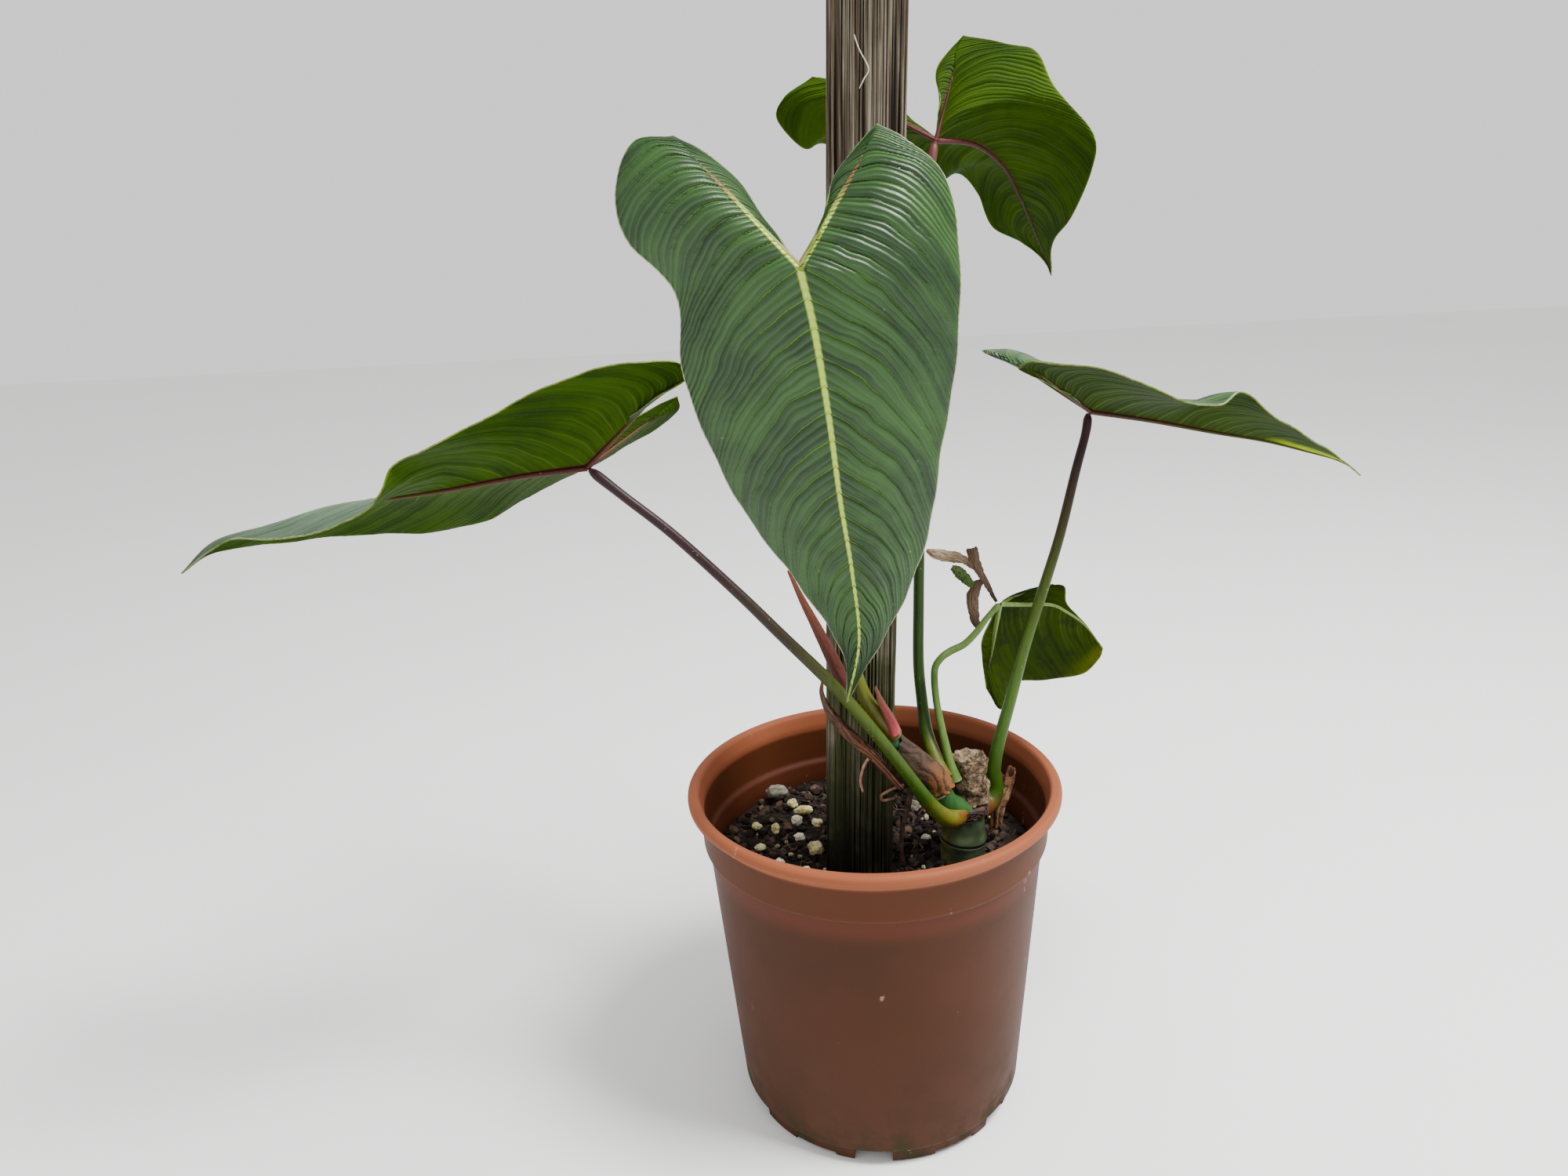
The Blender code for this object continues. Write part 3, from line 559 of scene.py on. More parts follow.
def makePot():
    s = potSizes
    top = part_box("pot")[1].z / mm
    rim, collar, body, foot, wall = s["rim"], s["collar"], s["bodyTop"], s["bodyFoot"], s["wall"]
    collarFoot, footHeight = s["collarFoot"], s["footHeight"]
    floorTop, floorLow = s["floorTop"], s["floorLow"]
    between = foot + (body - foot) * 0.516
    profile = [
        (0.0, floorTop - floorLow), (21.5, floorTop - floorLow), (25.0, floorTop),
        (foot - wall - 3.6, floorTop), (foot - wall, footHeight + 4.0), (body - wall, collarFoot - 1.8),
        (collar - wall - 0.6, collarFoot + 0.4), (collar - wall, top - 8.0), (rim - 6.5, top - 1.4),
        (rim - 5.3, top), (rim - 1.6, top), (rim, top - 1.6), (rim, top - 4.6), (rim - 1.2, top - 5.8),
        (collar + 3.4, top - 6.2), (collar + 3.0, top - 9.0), (collar + 0.4, top - 10.2),
        (collar - 0.4, collarFoot + 1.6), (collar - 1.2, collarFoot), (body, collarFoot - 0.6),
        (between, 90.0), (foot, footHeight), (foot - 2.6, footHeight - 1.6), (foot - 3.6, 0.0),
        (foot - 8.0, 0.0), (foot - 8.6, floorLow), (26.0, floorLow), (23.0, 0.0), (0.0, 0.0)]
    shape = turned(rounded(profile, s["cornerRound"]), s["steps"])
    pot = makePiece("nursery_pot", shape, [finishes["pot"]], ["pot"], recalculate=True)
    cutters = bmesh.new()
    for k in range(s["drains"]):
        for shift, width, height in s["drainCuts"]:
            turn = math.radians(s["drainAngle"] + shift + 360.0 * k / s["drains"])
            spot = Matrix.Translation((*ringSpot(turn, (foot - 2.0) * mm), (height - 4.0) / 2 * mm))
            size = Matrix.Diagonal((17.0 * mm, width * mm, (height + 4.0) * mm, 1.0))
            bmesh.ops.create_cube(cutters, size=1.0, matrix=spot @ Matrix.Rotation(turn, 4, "Z") @ size)
    mesh = bpy.data.meshes.new("drains")
    cutters.to_mesh(mesh)
    cutters.free()
    mesh.materials.append(finishes["pot"].material)
    cutter = bpy.data.objects.new("drains", mesh)
    bpy.context.scene.collection.objects.link(cutter)
    cut = pot.modifiers.new("drains", "BOOLEAN")
    cut.object = cutter
    cut.solver = "EXACT"
    bpy.context.view_layer.update()
    graph = bpy.context.evaluated_depsgraph_get()
    pot.data = bpy.data.meshes.new_from_object(pot.evaluated_get(graph))
    pot.modifiers.clear()
    bpy.data.objects.remove(cutter)
    pot.data.shade_smooth()
    pot.data.set_sharp_from_angle(angle=math.radians(38))


# Stake: a sawn batten whose soft grain has weathered out.
stakeSizes = dict(side=36.0, twist=-3.5, perSide=72, rings=170, furrow=1.7, edgeWear=1.6, thread=[
    (-6.5, -18.9, 68), (-4.5, -19.4, 74), (-0.5, -19.2, 82), (-2.5, -19.5, 86), (-4.8, -19.0, 90)])


def makeStake():
    s = stakeSizes
    low, high = (np.array(corner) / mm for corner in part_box("stake"))
    side, perSide, rings = s["side"], s["perSide"], s["rings"]
    twist = math.radians(s["twist"])
    half = side * (math.cos(twist) + abs(math.sin(twist))) / 2
    first = np.array((low[0] + half, high[1] - half))  # it leans to +X and -Y as it rises
    last = np.array((high[0] - half, low[1] + half))
    vertices, groove = [], []
    for i in range(rings):
        share = i / (rings - 1)
        z = low[2] + (high[2] - low[2]) * share
        centre = first + (last - first) * share
        for k in range(4):  # the four faces, each with its own grain
            for j in range(perSide):
                t = (j + 0.5) / perSide * 2 - 1  # from one edge of the face, -1, to the other, 1
                lane = t * side / 2
                deep = noise.noise(Vector((lane * 0.85 + k * 19.0, z * 0.005, k * 7.3)))
                narrow = noise.noise(Vector((lane * 2.3 + k * 31.0, z * 0.012, k * 3.1 + 9.0)))
                cutIn = max(0.0, deep + 0.05) * 1.5 + max(0.0, narrow) * 1.1
                cutIn = min(1.0, cutIn) * s["furrow"]
                chipped = 0.6 + 0.5 * waver((k, z * 0.02, 0), 1.0)
                worn = max(0.0, abs(t) - 0.93) / 0.07 * s["edgeWear"] * chipped
                out = side / 2 - cutIn - worn * 0.7 + 0.2
                angle = twist + k * math.pi / 2
                x, y = out, lane * (1 - 0.012 * worn)
                vertices.append((centre[0] + x * math.cos(angle) - y * math.sin(angle),
                                 centre[1] + x * math.sin(angle) + y * math.cos(angle), z))
                groove.append(cutIn / s["furrow"])
    around = 4 * perSide
    faces = gridFaces(rings, around, flip=True, closed=True)
    capRing(vertices, faces, 0, around, (*first, low[2]), True)
    capRing(vertices, faces, (rings - 1) * around, around, (*last, high[2]), False)
    groove += [0.3, 0.3]
    shape = (np.array(vertices), faces, {"groove": groove})
    wood = [finishes["stake"]]
    stake = makePiece("weathered_stake", shape, wood, ["stake"], recalculate=True)
    stake.data.set_sharp_from_angle(angle=math.radians(50))
    front = last + (first - last) * 0.13  # the stake's middle where the thread clings
    route = [(front[0] + x, front[1] + y, high[2] - down, 0.28) for x, y, down in s["thread"]]
    makePiece("stake_thread", tube(route, 7, 40), [finishes["thread"]])


# Potting mix: a rough bed under loose granules, with a few fine roots.
mixSizes = dict(granules=2100, smallest=2.6, largest=8.4, paleShare=0.045, paleLargest=5.0, fibres=30,
                stakeInset=(24.4, 21.6), stakeRoom=18.0, stemRoom=12.4)


def makeMix():
    s = mixSizes
    low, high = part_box("potting_mix")
    top, radius = high.z / mm, (high.x - low.x) / 2 / mm
    stakeLow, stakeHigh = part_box("stake")
    inset = s["stakeInset"]  # from the stake's box to where it enters the mix
    stakeSpot = np.array((stakeLow.x / mm + inset[0], stakeHigh.y / mm - inset[1]))
    stemSpot = middle("stem_foot")[:2]
    base = low.z / mm
    profile = [
        (0.0, top - 3.0), (radius * 0.3, top - 3.0), (radius * 0.6, top - 3.0), (radius * 0.85, top - 2.6),
        (radius - 0.5, top - 2.0), (radius - 6.0, 90.0), (radius - 14.5, base + 6.0),
        (radius - 18.0, base + 0.5), (0.0, base + 0.5)]
    bed = turned(rounded(profile, 2.0), 72)
    bed[2]["tone"] = [0.2] * len(bed[0])
    ball = bmesh.new()
    bmesh.ops.create_icosphere(ball, subdivisions=1, radius=0.5)
    grain = np.array([corner.co for corner in ball.verts])
    grainFaces = [tuple(corner.index for corner in face.verts) for face in ball.faces]
    ball.free()
    rough = np.random.default_rng(4)
    shapes = [bed]
    made = 0
    while made < s["granules"]:
        angle, reach = dice.uniform(0, 2 * math.pi), math.sqrt(dice.random()) * (radius - 1.2)
        spot = np.array(ringSpot(angle, reach))
        size = s["smallest"] + (s["largest"] - s["smallest"]) * dice.random() ** 1.7
        inStake = max(abs(spot - stakeSpot)) < s["stakeRoom"] + size * 0.3
        inStem = np.linalg.norm(spot - stemSpot) < s["stemRoom"] + size * 0.3
        if inStake or inStem or reach > radius - size * 0.45:
            continue
        shape = grain * (1.0 + rough.uniform(-0.16, 0.16, (len(grain), 1)))
        shape = shape * np.array((size, size * rough.uniform(0.6, 1.0), size * rough.uniform(0.45, 0.85)))
        turn = Euler((rough.uniform(-0.8, 0.8), rough.uniform(-0.8, 0.8), rough.uniform(0, 6.28))).to_matrix()
        mound = 1.1 * waver((spot[0], spot[1], 0.0), 0.06) - max(0.0, reach - radius + 12.0) * 0.06
        height = top - 2.4 + mound + rough.uniform(-1.6, 2.6)
        shape = shape @ np.array(turn).T + np.array((spot[0], spot[1], height))
        pale = dice.random() < s["paleShare"] and size < s["paleLargest"]
        tone = dice.uniform(0.965, 1.0) if pale else dice.random() ** 1.3 * 0.93  # the mix's colour ramp
        shapes.append((shape, grainFaces, {"tone": [tone] * len(grain)}))
        made += 1
    bedPiece = makePiece("bark_mix", merge(shapes), [finishes["mix"]], ["potting_mix"])
    bedPiece.data.set_sharp_from_angle(angle=math.radians(42))
    strands = []
    while len(strands) < s["fibres"]:
        x, y = ringSpot(dice.uniform(0, 2 * math.pi), dice.uniform(20, radius - 16))
        if max(abs(np.array((x, y)) - stakeSpot)) < 30:
            continue
        heading, route = dice.uniform(0, 6.28), []
        for k in range(6):
            route.append((x, y, top + dice.uniform(-1.0, 2.0), dice.uniform(0.16, 0.34)))
            heading += dice.uniform(-0.9, 0.9)
            x, y = x + 3.2 * math.cos(heading), y + 3.2 * math.sin(heading)
        strands.append(tube(route, 6, 24))
    makePiece("fine_roots", merge(strands), [finishes["root"]])


def lump(node, name, finish, bend, pits, seed):
    low, high = (np.array(corner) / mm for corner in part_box(node))
    ball = bmesh.new()
    bmesh.ops.create_icosphere(ball, subdivisions=4, radius=0.5)
    vertices = []
    for corner in ball.verts:
        p = corner.co
        swell = 1 + bend * waver(p, 2.6, seed) + bend * 0.5 * waver(p, 6.0, seed + 4)
        swell -= pits * max(0.0, waver(p, 13.0, seed + 8)) * 2.0
        vertices.append(np.array(p * swell))
    faces = [tuple(corner.index for corner in face.verts) for face in ball.faces]
    ball.free()
    vertices = np.array(vertices)
    size = vertices.max(0) - vertices.min(0)
    vertices = (vertices - (vertices.max(0) + vertices.min(0)) / 2) / size * (high - low)
    makePiece(name, (vertices + (low + high) / 2, faces, {}), [finish], [node])


def makeStones():
    for k, node in enumerate(sorted(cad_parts)):
        if node.startswith("pebble"):
            lump(node, node + "_stone", finishes["pebble"], 0.22, 0.02, k)
        if node.startswith("pumice"):
            finish = finishes["pumice" if k % 3 else "pumiceWhite"]
            lump(node, node + "_grain", finish, 0.34, 0.1, k * 1.7)


makePot()
print("pot made")
makeStake()
print("stake made")
makeMix()
makeStones()
print("mix and stones made")


# Blades.  A blade is drawn in its own frame, in mm: along to the tip, left, and up on the glossy side.
# Each half's outline runs from the stalk's joint up the notch to the lobe's apex, then along edge to the tip.
bladeGrid = dict(lobeCells=75, leafCells=165, rows=26, thickness=0.75, swell=0.07, bow=0.10)
blades = {
    "front_leaf": dict(
        heading=-90, pitch=-104, roll=0, quilt=1.0, lobeVeins=8, veins=18, lean=3.0, ribSize=1.4, ripple=0.5,
        midrib=[(25, 5, 2), (63, 10, 4), (102, 14, 6), (141, 19, 5), (182, 22, 2), (221, 16, -2)],
        left=dict(rib=(-38, 27, -17), notch=[(-17, 10, -8), (-33, 17, -18), (-49, 33, -21)],
                  edge=[(-43, 44, -18), (-30, 59, -13), (1, 65, -5), (47, 65, -6), (84, 60, -5),
                        (128, 55, -6), (166, 43, -5), (203, 24, -2)]),
        right=dict(rib=(-40, -39, -15), notch=[(-13, -10, -9), (-35, -27, -20), (-49, -47, -19)],
                   edge=[(-47, -63, -17), (-32, -71, -10), (-12, -68, -6), (10, -51, -7), (45, -51, -8),
                         (80, -42, -8), (115, -28, -8), (150, -7, -6), (190, 14, -3)])),
    "left_leaf": dict(
        heading=180, pitch=-12, roll=31, quilt=0.75, lobeVeins=7, veins=16, lean=2.6, ribSize=1.1, ripple=0.4,
        midrib=[(30, 3, 3), (65, 5, 5), (93, 8, 7), (125, 10, 10), (157, 9, 9), (187, 7, 9), (210, 0, 0)],
        left=dict(rib=(-45, 28, 14), notch=[(-14, 5, 10), (-37, 25, 11), (-63, 30, 18)],
                  edge=[(-57, 42, 21), (-35, 54, 21), (-6, 53, 21), (22, 51, 16), (49, 57, 6),
                        (73, 53, 3), (84, 49, -7), (103, 38, -11), (139, 28, -8), (176, 15, 4)]),
        right=dict(rib=(-35, -27, 28), notch=[(-15, -6, 15), (-32, -19, 28), (-47, -30, 36)],
                   edge=[(-44, -36, 30), (-19, -50, 27), (16, -58, 21), (37, -57, 17), (70, -53, 6),
                         (98, -40, 3), (122, -31, 6), (141, -28, 9), (172, -17, 10), (194, -4, 8)])),
    "right_leaf": dict(
        heading=4, pitch=-17, roll=-5, quilt=0.6, lobeVeins=6, veins=13, lean=2.1, ribSize=1.0, ripple=0.4,
        midrib=[(33, 0, 3), (70, 0, 5), (99, 0, 7), (123, -1, 7), (147, -1, 6), (160, -1, 1)],
        left=dict(rib=(-40, 32, 16), notch=[(-8, 20, 7), (-29, 31, 12), (-56, 37, 17)],
                  edge=[(-38, 54, 22), (-13, 62, 21), (23, 60, 15), (53, 57, 15), (78, 51, 20),
                        (92, 44, 26), (108, 36, 18), (125, 22, 8), (141, 7, 7), (152, 2, 5)]),
        right=dict(rib=(-43, -28, 11), notch=[(-21, -15, 5), (-38, -23, 8), (-55, -34, 10)],
                   edge=[(-52, -43, 15), (-37, -52, 17), (-18, -61, 19), (6, -57, 16), (28, -57, 14),
                         (46, -48, 17), (58, -41, 26), (82, -34, 19), (117, -20, 12), (141, -8, 7)])),
    "top_leaf": dict(
        heading=46, pitch=-34, roll=-24, quilt=0.75, lobeVeins=7, veins=13, lean=2.4, ribSize=1.1, ripple=0.4,
        midrib=[(24, -10, 10), (49, -14, 12), (72, -12, 10), (97, -8, 8), (123, -4, 4), (137, -1, 0)],
        left=dict(rib=(-27, 31, 23), notch=[(-6, 7, 9), (-26, 23, 27), (-43, 47, 34)],
                  edge=[(-46, 63, 26), (-41, 71, 20), (-23, 67, 13), (-16, 58, 16), (6, 43, 10),
                        (33, 25, 4), (44, 11, 16), (64, 9, 15), (85, 11, 7), (108, 3, 7), (125, -2, 3)]),
        right=dict(rib=(-8, -17, 31), notch=[(-7, -7, 15), (-14, -10, 30), (-11, -24, 46)],
                   edge=[(2, -41, 41), (11, -53, 36), (26, -56, 22), (52, -64, 8), (69, -55, 1),
                         (93, -33, -2), (111, -14, 1)])),
    "small_leaf": dict(
        heading=4, pitch=-28, roll=-90, quilt=0.35, lobeVeins=4, veins=6, lean=0.8, ribSize=1.0, ripple=0.5,
        midrib=[(12, -5, 0), (26, -11, 0), (36, -11, 0), (51, -8, 1), (67, 0, 0)],
        left=dict(rib=(12, 33, 2), notch=[(0, 21, 0), (7, 33, 2), (19, 49, 6)],
                  edge=[(32, 57, 4), (34, 47, 9), (38, 40, 14), (54, 33, 16), (69, 21, 12), (71, 8, 6)]),
        right=dict(rib=(7, -6, 4), notch=[(2, -3, 2), (5, -5, 3), (8, -7, 4)],
                   edge=[(15, -11, 7), (23, -18, 9), (32, -22, 9), (36, -15, 5), (45, -11, 3),
                         (58, -5, 1)])),
}
bladeLooks = {  # what differs on each blade's upper side and underside
    "front_leaf": ({}, {}),
    # painted sheen: the left leaf's upper side gets paler, greyer colours
    "left_leaf": (dict(deep=(0.03, 0.065, 0.03), mid=(0.07, 0.12, 0.065), pale=(0.17, 0.24, 0.16)), {}),
    # painted shade: the right leaf's underside gets darker deep and mid colours
    "right_leaf": ({}, dict(
        deep=(0.008, 0.02, 0.0003), mid=(0.02, 0.042, 0.0006),
        glow=(0.26, 0.36, 0.002), glowAlong=(0.6, 0.74), glowReach=7.0, glowFrom="fromRib")),
    "top_leaf": ({}, dict(
        deep=(0.01, 0.028, 0.0004), mid=(0.03, 0.066, 0.001),
        rib=(0.1, 0.035, 0.025), ribBase=(0.07, 0.018, 0.02))),
    "small_leaf": ({}, dict(
        deep=(0.01, 0.024, 0.0003), mid=(0.026, 0.05, 0.0006), pleatShow=0.1, blotch=(0.01, 0.018, 0.002),
        rib=(0.17, 0.25, 0.06), ribBase=(0.2, 0.26, 0.07),
        glow=(0.09, 0.11, 0.002), glowAlong=(0.4, 0.9), glowReach=10.0, glowFrom="fromEdge")),
}


def bladeTurn(spec):
    turn = Euler((math.radians(spec["roll"]), -math.radians(spec["pitch"]), math.radians(spec["heading"])))
    return np.array(turn.to_matrix())


def bladeHalf(spec, side, sign):
    grid = bladeGrid
    lobe, leaf, rows = grid["lobeCells"], grid["leafCells"], grid["rows"]
    half, joint, tip = spec[side], (0.0, 0.0, 0.0), spec["midrib"][-1]
    rib = smoothPath([joint, half["rib"]], lobe + 1)
    midrib = smoothPath([joint, *spec["midrib"]], leaf + 1)
    notch = smoothPath([joint, *half["notch"]], lobe + 1)
    edge = smoothPath([half["notch"][-1], *half["edge"], tip], lobe + leaf + 1)
    roots = np.vstack([rib, rib[-2::-1], midrib[1:]])
    ends = np.vstack([notch, edge[1:]])
    columns = len(roots)
    along = np.array((1.0, 0.0, 0.0))
    reach = ends - roots
    width = np.linalg.norm(reach, axis=1)
    up = np.cross(along, reach) * sign
    up /= np.maximum(np.linalg.norm(up, axis=1), 0.001)[:, None]
    swell = np.where(np.arange(columns) <= lobe, 0.3, 1.0)
    v = np.linspace(0.0, 1.0, rows)
    hump = 4 * v[None, :] * (1 - v[None, :]) * (width * swell)[:, None]
    shift = grid["swell"] * up[:, None, :] - grid["bow"] * along[None, None, :]
    points = roots[:, None, :] + reach[:, None, :] * v[None, :, None] + hump[:, :, None] * shift
    step = np.cross(np.gradient(points, axis=0), np.gradient(points, axis=1)) * sign
    size = np.linalg.norm(step, axis=2, keepdims=True)
    normal = np.where(size > 1e-5, step / np.maximum(size, 1e-5), (0.0, 0.0, 1.0))
    index = np.arange(columns)
    folded = np.where(index < lobe, 2 * lobe - index, index)  # the notch strip mirrors the lobe
    share = np.clip((folded - 2 * lobe) / leaf, 0, 1)
    vein = spec["lobeVeins"] * np.minimum(folded - lobe, lobe) / lobe + spec["veins"] * share
    phase = vein[:, None] - spec["lean"] * (0.75 * v[None, :] + 0.5 * v[None, :] ** 3)
    stray = [0.3 * waver(p, 0.035, sign) + 0.12 * waver(p, 0.11, sign * 4) for p in points.reshape(-1, 3)]
    phase = phase + np.array(stray).reshape(phase.shape) * np.clip(v * 4, 0, 1)[None, :]
    main = np.abs(np.sin(math.pi * phase)) ** 0.7
    fine = np.abs(np.sin(math.pi * phase * 3)) ** 0.8
    ease = np.clip(v / 0.15, 0, 1) * (1 - 0.75 * np.clip((v - 0.75) / 0.25, 0, 1))
    ease = ease * np.clip(width / 30, 0, 1)[:, None]
    taper = np.clip((1 - share) * 6, 0, 1)[:, None]
    calm = np.where(index < lobe, 0.2, 1.0)[:, None] * np.clip(abs(folded - lobe) / 12.0, 0.2, 1)[:, None]
    lift = spec["quilt"] * (0.9 * main + 0.3 * fine - 0.7) * ease * taper * calm
    lift += spec["ripple"] * np.sin(phase * 2.3 + 1.0) * v[None, :] ** 4 * taper
    points = points + normal * lift[:, :, None]
    flat = dict(
        vein=phase, across=np.broadcast_to(v[None, :], phase.shape), fromRib=width[:, None] * v[None, :],
        fromEdge=width[:, None] * (1 - v[None, :]), along=np.broadcast_to(share[:, None], phase.shape),
        half=np.full(phase.shape, 0.5 + sign * 0.5),
        lobe=np.broadcast_to(np.clip((2 * lobe - folded) / lobe, 0, 1)[:, None], phase.shape))
    numbers = {name: value.reshape(-1) for name, value in flat.items()}
    return points.reshape(-1, 3), gridFaces(columns, rows, flip=sign < 0), numbers


def ribRoutes(spec):
    size, joint = spec["ribSize"], (0.0, 0.0, 0.0)
    routes = []
    for points, thick in (([joint, *spec["midrib"]], size), ([joint, spec["left"]["rib"]], size * 0.8),
                          ([joint, spec["right"]["rib"]], size * 0.8)):
        path = smoothPath(points, 60)[:57]
        share = np.linspace(0, 1, len(path))
        radius = thick * (1 - share) ** 0.8 + 0.28
        drop = np.stack([np.zeros_like(share), np.zeros_like(share), -(radius - 0.12)], -1)
        routes.append(np.hstack([path + drop, radius[:, None]]))
    return routes


ribStops = {
    "front_leaf": [(0.0, (0.2, 0.12, 0.04)), (0.3, (0.2, 0.26, 0.06)), (1.0, (0.1, 0.16, 0.03))],
    "left_leaf": [(0.0, (0.05, 0.01, 0.006)), (0.3, (0.06, 0.018, 0.006)), (0.75, (0.06, 0.045, 0.006)),
                  (1.0, (0.05, 0.06, 0.006))],
    "right_leaf": [(0.0, (0.05, 0.015, 0.01)), (0.4, (0.04, 0.03, 0.005)), (1.0, (0.035, 0.06, 0.004))],
    "top_leaf": [(0.0, (0.07, 0.015, 0.014)), (0.5, (0.04, 0.012, 0.008)), (1.0, (0.03, 0.035, 0.006))],
    "small_leaf": [(0.0, (0.22, 0.32, 0.09)), (0.5, (0.16, 0.24, 0.05)), (1.0, (0.1, 0.15, 0.03))],
}
bladeShift = {}


def makeBlade(name):
    spec = blades[name]
    turn = bladeTurn(spec)
    points, faces, numbers = merge([bladeHalf(spec, "left", 1.0), bladeHalf(spec, "right", -1.0)])
    points = points @ turn.T
    shift = settle(points, name)
    bladeShift[name] = (shift, turn)
    upper, under = bladeLooks[name]
    label = name.replace("_", " ")
    sides = [leafFinish(label + " upper side", {**upperLook, **upper}),
             leafFinish(label + " underside", {**underLook, **under}), finishes["margin"]]
    makePiece(name + "_blade", (points + shift, faces, numbers), sides, [name], weld=0.012,
              thickness=bladeGrid["thickness"])
    ribs, faces, numbers = merge([tube(route, 14) for route in ribRoutes(spec)])
    ribFinish = stalkFinish(label + " ribs", ribStops[name], 0.45)
    makePiece(name + "_ribs", (ribs @ turn.T + shift, faces, numbers), [ribFinish])


for name in blades:
    makeBlade(name)
print("blades made")


# Stalks: x, y, z and radius in mm, from the stem to the blade's joint.
red, purple, pink = (0.13, 0.012, 0.006), (0.024, 0.009, 0.01), (0.1, 0.028, 0.028)
ochre, olive = (0.13, 0.12, 0.012), (0.04, 0.06, 0.004)
green, mint = (0.025, 0.065, 0.004), (0.085, 0.155, 0.03)
stalks = {
    "left_leaf_stalk": dict(
        leaf="left_leaf", tip=2.3, stops=[
            (0.0, red), (0.05, ochre), (0.14, green), (0.4, olive), (0.55, (0.025, 0.019, 0.007)),
            (0.75, purple), (1.0, purple)],
        route=[(47, -20, 185, 5.6), (43, -28, 184, 5.4), (36.5, -34.5, 188, 4.9), (27, -39, 200, 4.0),
               (8, -47, 232, 3.3), (-8, -52, 257, 3.2), (-24, -55, 279, 3.1), (-46, -55, 304, 2.9),
               (-68, -52, 328, 2.7), (-97, -47, 357, 2.5), (-119, -44, 376, 2.4)]),
    "right_leaf_stalk": dict(
        leaf="right_leaf", tip=2.1, stops=[
            (0.0, (0.12, 0.04, 0.015)), (0.07, green), (0.3, (0.045, 0.1, 0.01)), (0.6, olive),
            (0.75, (0.035, 0.025, 0.008)), (0.9, purple), (1.0, purple)],
        route=[(59, -10, 180, 7.5), (66, -7, 182, 5.6), (69, -5, 189, 4.6), (68, -5, 200, 4.0),
               (71, -4, 217, 3.6), (77, -3, 240, 3.3), (85, -1, 271, 3.1), (95, 2, 302, 2.9),
               (105, 7, 332, 2.7), (114, 13, 365, 2.5), (120, 18, 384, 2.3)]),
    "small_leaf_stalk": dict(
        leaf="small_leaf", tip=1.6, stops=[
            (0.0, (0.09, 0.16, 0.03)), (0.3, mint), (0.5, (0.05, 0.1, 0.015)), (1.0, (0.12, 0.2, 0.05))],
        route=[(44, -21, 203, 3.6), (41, -19, 214, 2.5), (37.5, -13, 232, 2.1), (35.5, -7, 247, 2.0),
               (35.5, -3, 261, 2.0), (39, -1, 267, 2.0), (45, 2, 270, 2.1), (53, 4, 273, 2.0),
               (60, 6, 279, 1.9), (66, 8, 286, 1.7)]),
    "top_leaf_stalk": dict(
        leaf="top_leaf", tip=2.2, stops=[
            (0.0, (0.13, 0.09, 0.015)), (0.04, (0.08, 0.1, 0.01)), (0.1, (0.018, 0.05, 0.004)),
            (0.6, (0.015, 0.036, 0.003)), (0.9, (0.05, 0.035, 0.014)), (1.0, pink)],
        route=[(37, -22, 205, 5.4), (33, -15, 216, 4.1), (30, -6, 227, 3.6), (29, 2, 241, 3.2),
               (28, 8, 262, 3.1), (29, 12, 295, 3.0), (30, 14, 328, 2.9), (31, 16, 370, 2.8),
               (32, 19, 410, 2.7), (34, 23, 450, 2.6), (37, 28, 489, 2.5), (40, 34, 517, 2.4)]),
    "front_leaf_stalk": dict(
        leaf="front_leaf", tip=2.2, stops=[
            (0.0, (0.07, 0.05, 0.006)), (0.1, (0.08, 0.085, 0.006)), (0.5, olive),
            (1.0, (0.11, 0.06, 0.02))],
        route=[(9, -38, 240, 4.6), (3, -41, 249, 4.5), (-2, -42, 257, 4.1), (-7, -43, 268, 3.5),
               (-12, -44, 287, 3.1), (-19, -45, 321, 2.9), (-24, -48, 370, 2.7), (-28, -60, 425, 2.5),
               (-30, -84, 458, 2.4), (-32, -103, 474, 2.3)]),
}


def makeStalk(name):
    spec = stalks[name]
    shift, turn = bladeShift[spec["leaf"]]
    end = turn @ np.array((-1.0, 0.0, -spec["tip"] * 0.9)) + shift
    route = smoothPath([*spec["route"], (*end, spec["tip"])], 130)
    share = np.linspace(0, 1, len(route))
    route[:, 3] *= 1 + 0.1 * np.exp(-((share - 0.975) / 0.02) ** 2) + 0.06 * np.exp(-(share / 0.03) ** 2)
    sides = stalkFinish(name.replace("_", " "), spec["stops"])
    makePiece(name.replace("_leaf_stalk", "_stalk"), tube(route, 22), [sides], [name])


for name in stalks:
    makeStalk(name)
print("stalks made")


# The old stem: green foot with a node ring, collar of leaf scars and sawn corky stump.
stemSizes = dict(radius=12.2, steps=72, foot=(112.0, 180.0), stumpAt=(52.5, -12.0), hairs=46, flakes=15)


def roughened(shape, amount, scale, seed, stretch=(1, 1, 1)):
    vertices, faces, numbers = shape
    centre = vertices.mean(0)
    moved = []
    for p in vertices:
        out = (p - centre) * np.array((1, 1, 0.4))
        out = out / max(np.linalg.norm(out), 1e-6)
        q = p * np.array(stretch)
        push = waver(q, scale, seed) + 0.5 * waver(q, scale * 2.4, seed + 5)
        moved.append(p + out * push * amount)
    return np.array(moved), faces, numbers


def denser(profile, step):  # extra points so that roughness has something to move
    points = [np.array(p, float) for p in profile]
    fine = [points[0]]
    for a, b in zip(points, points[1:]):
        parts = max(1, int(np.linalg.norm(b - a) / step))
        fine += [a + (b - a) * (k + 1) / parts for k in range(parts)]
    return [tuple(p) for p in fine]


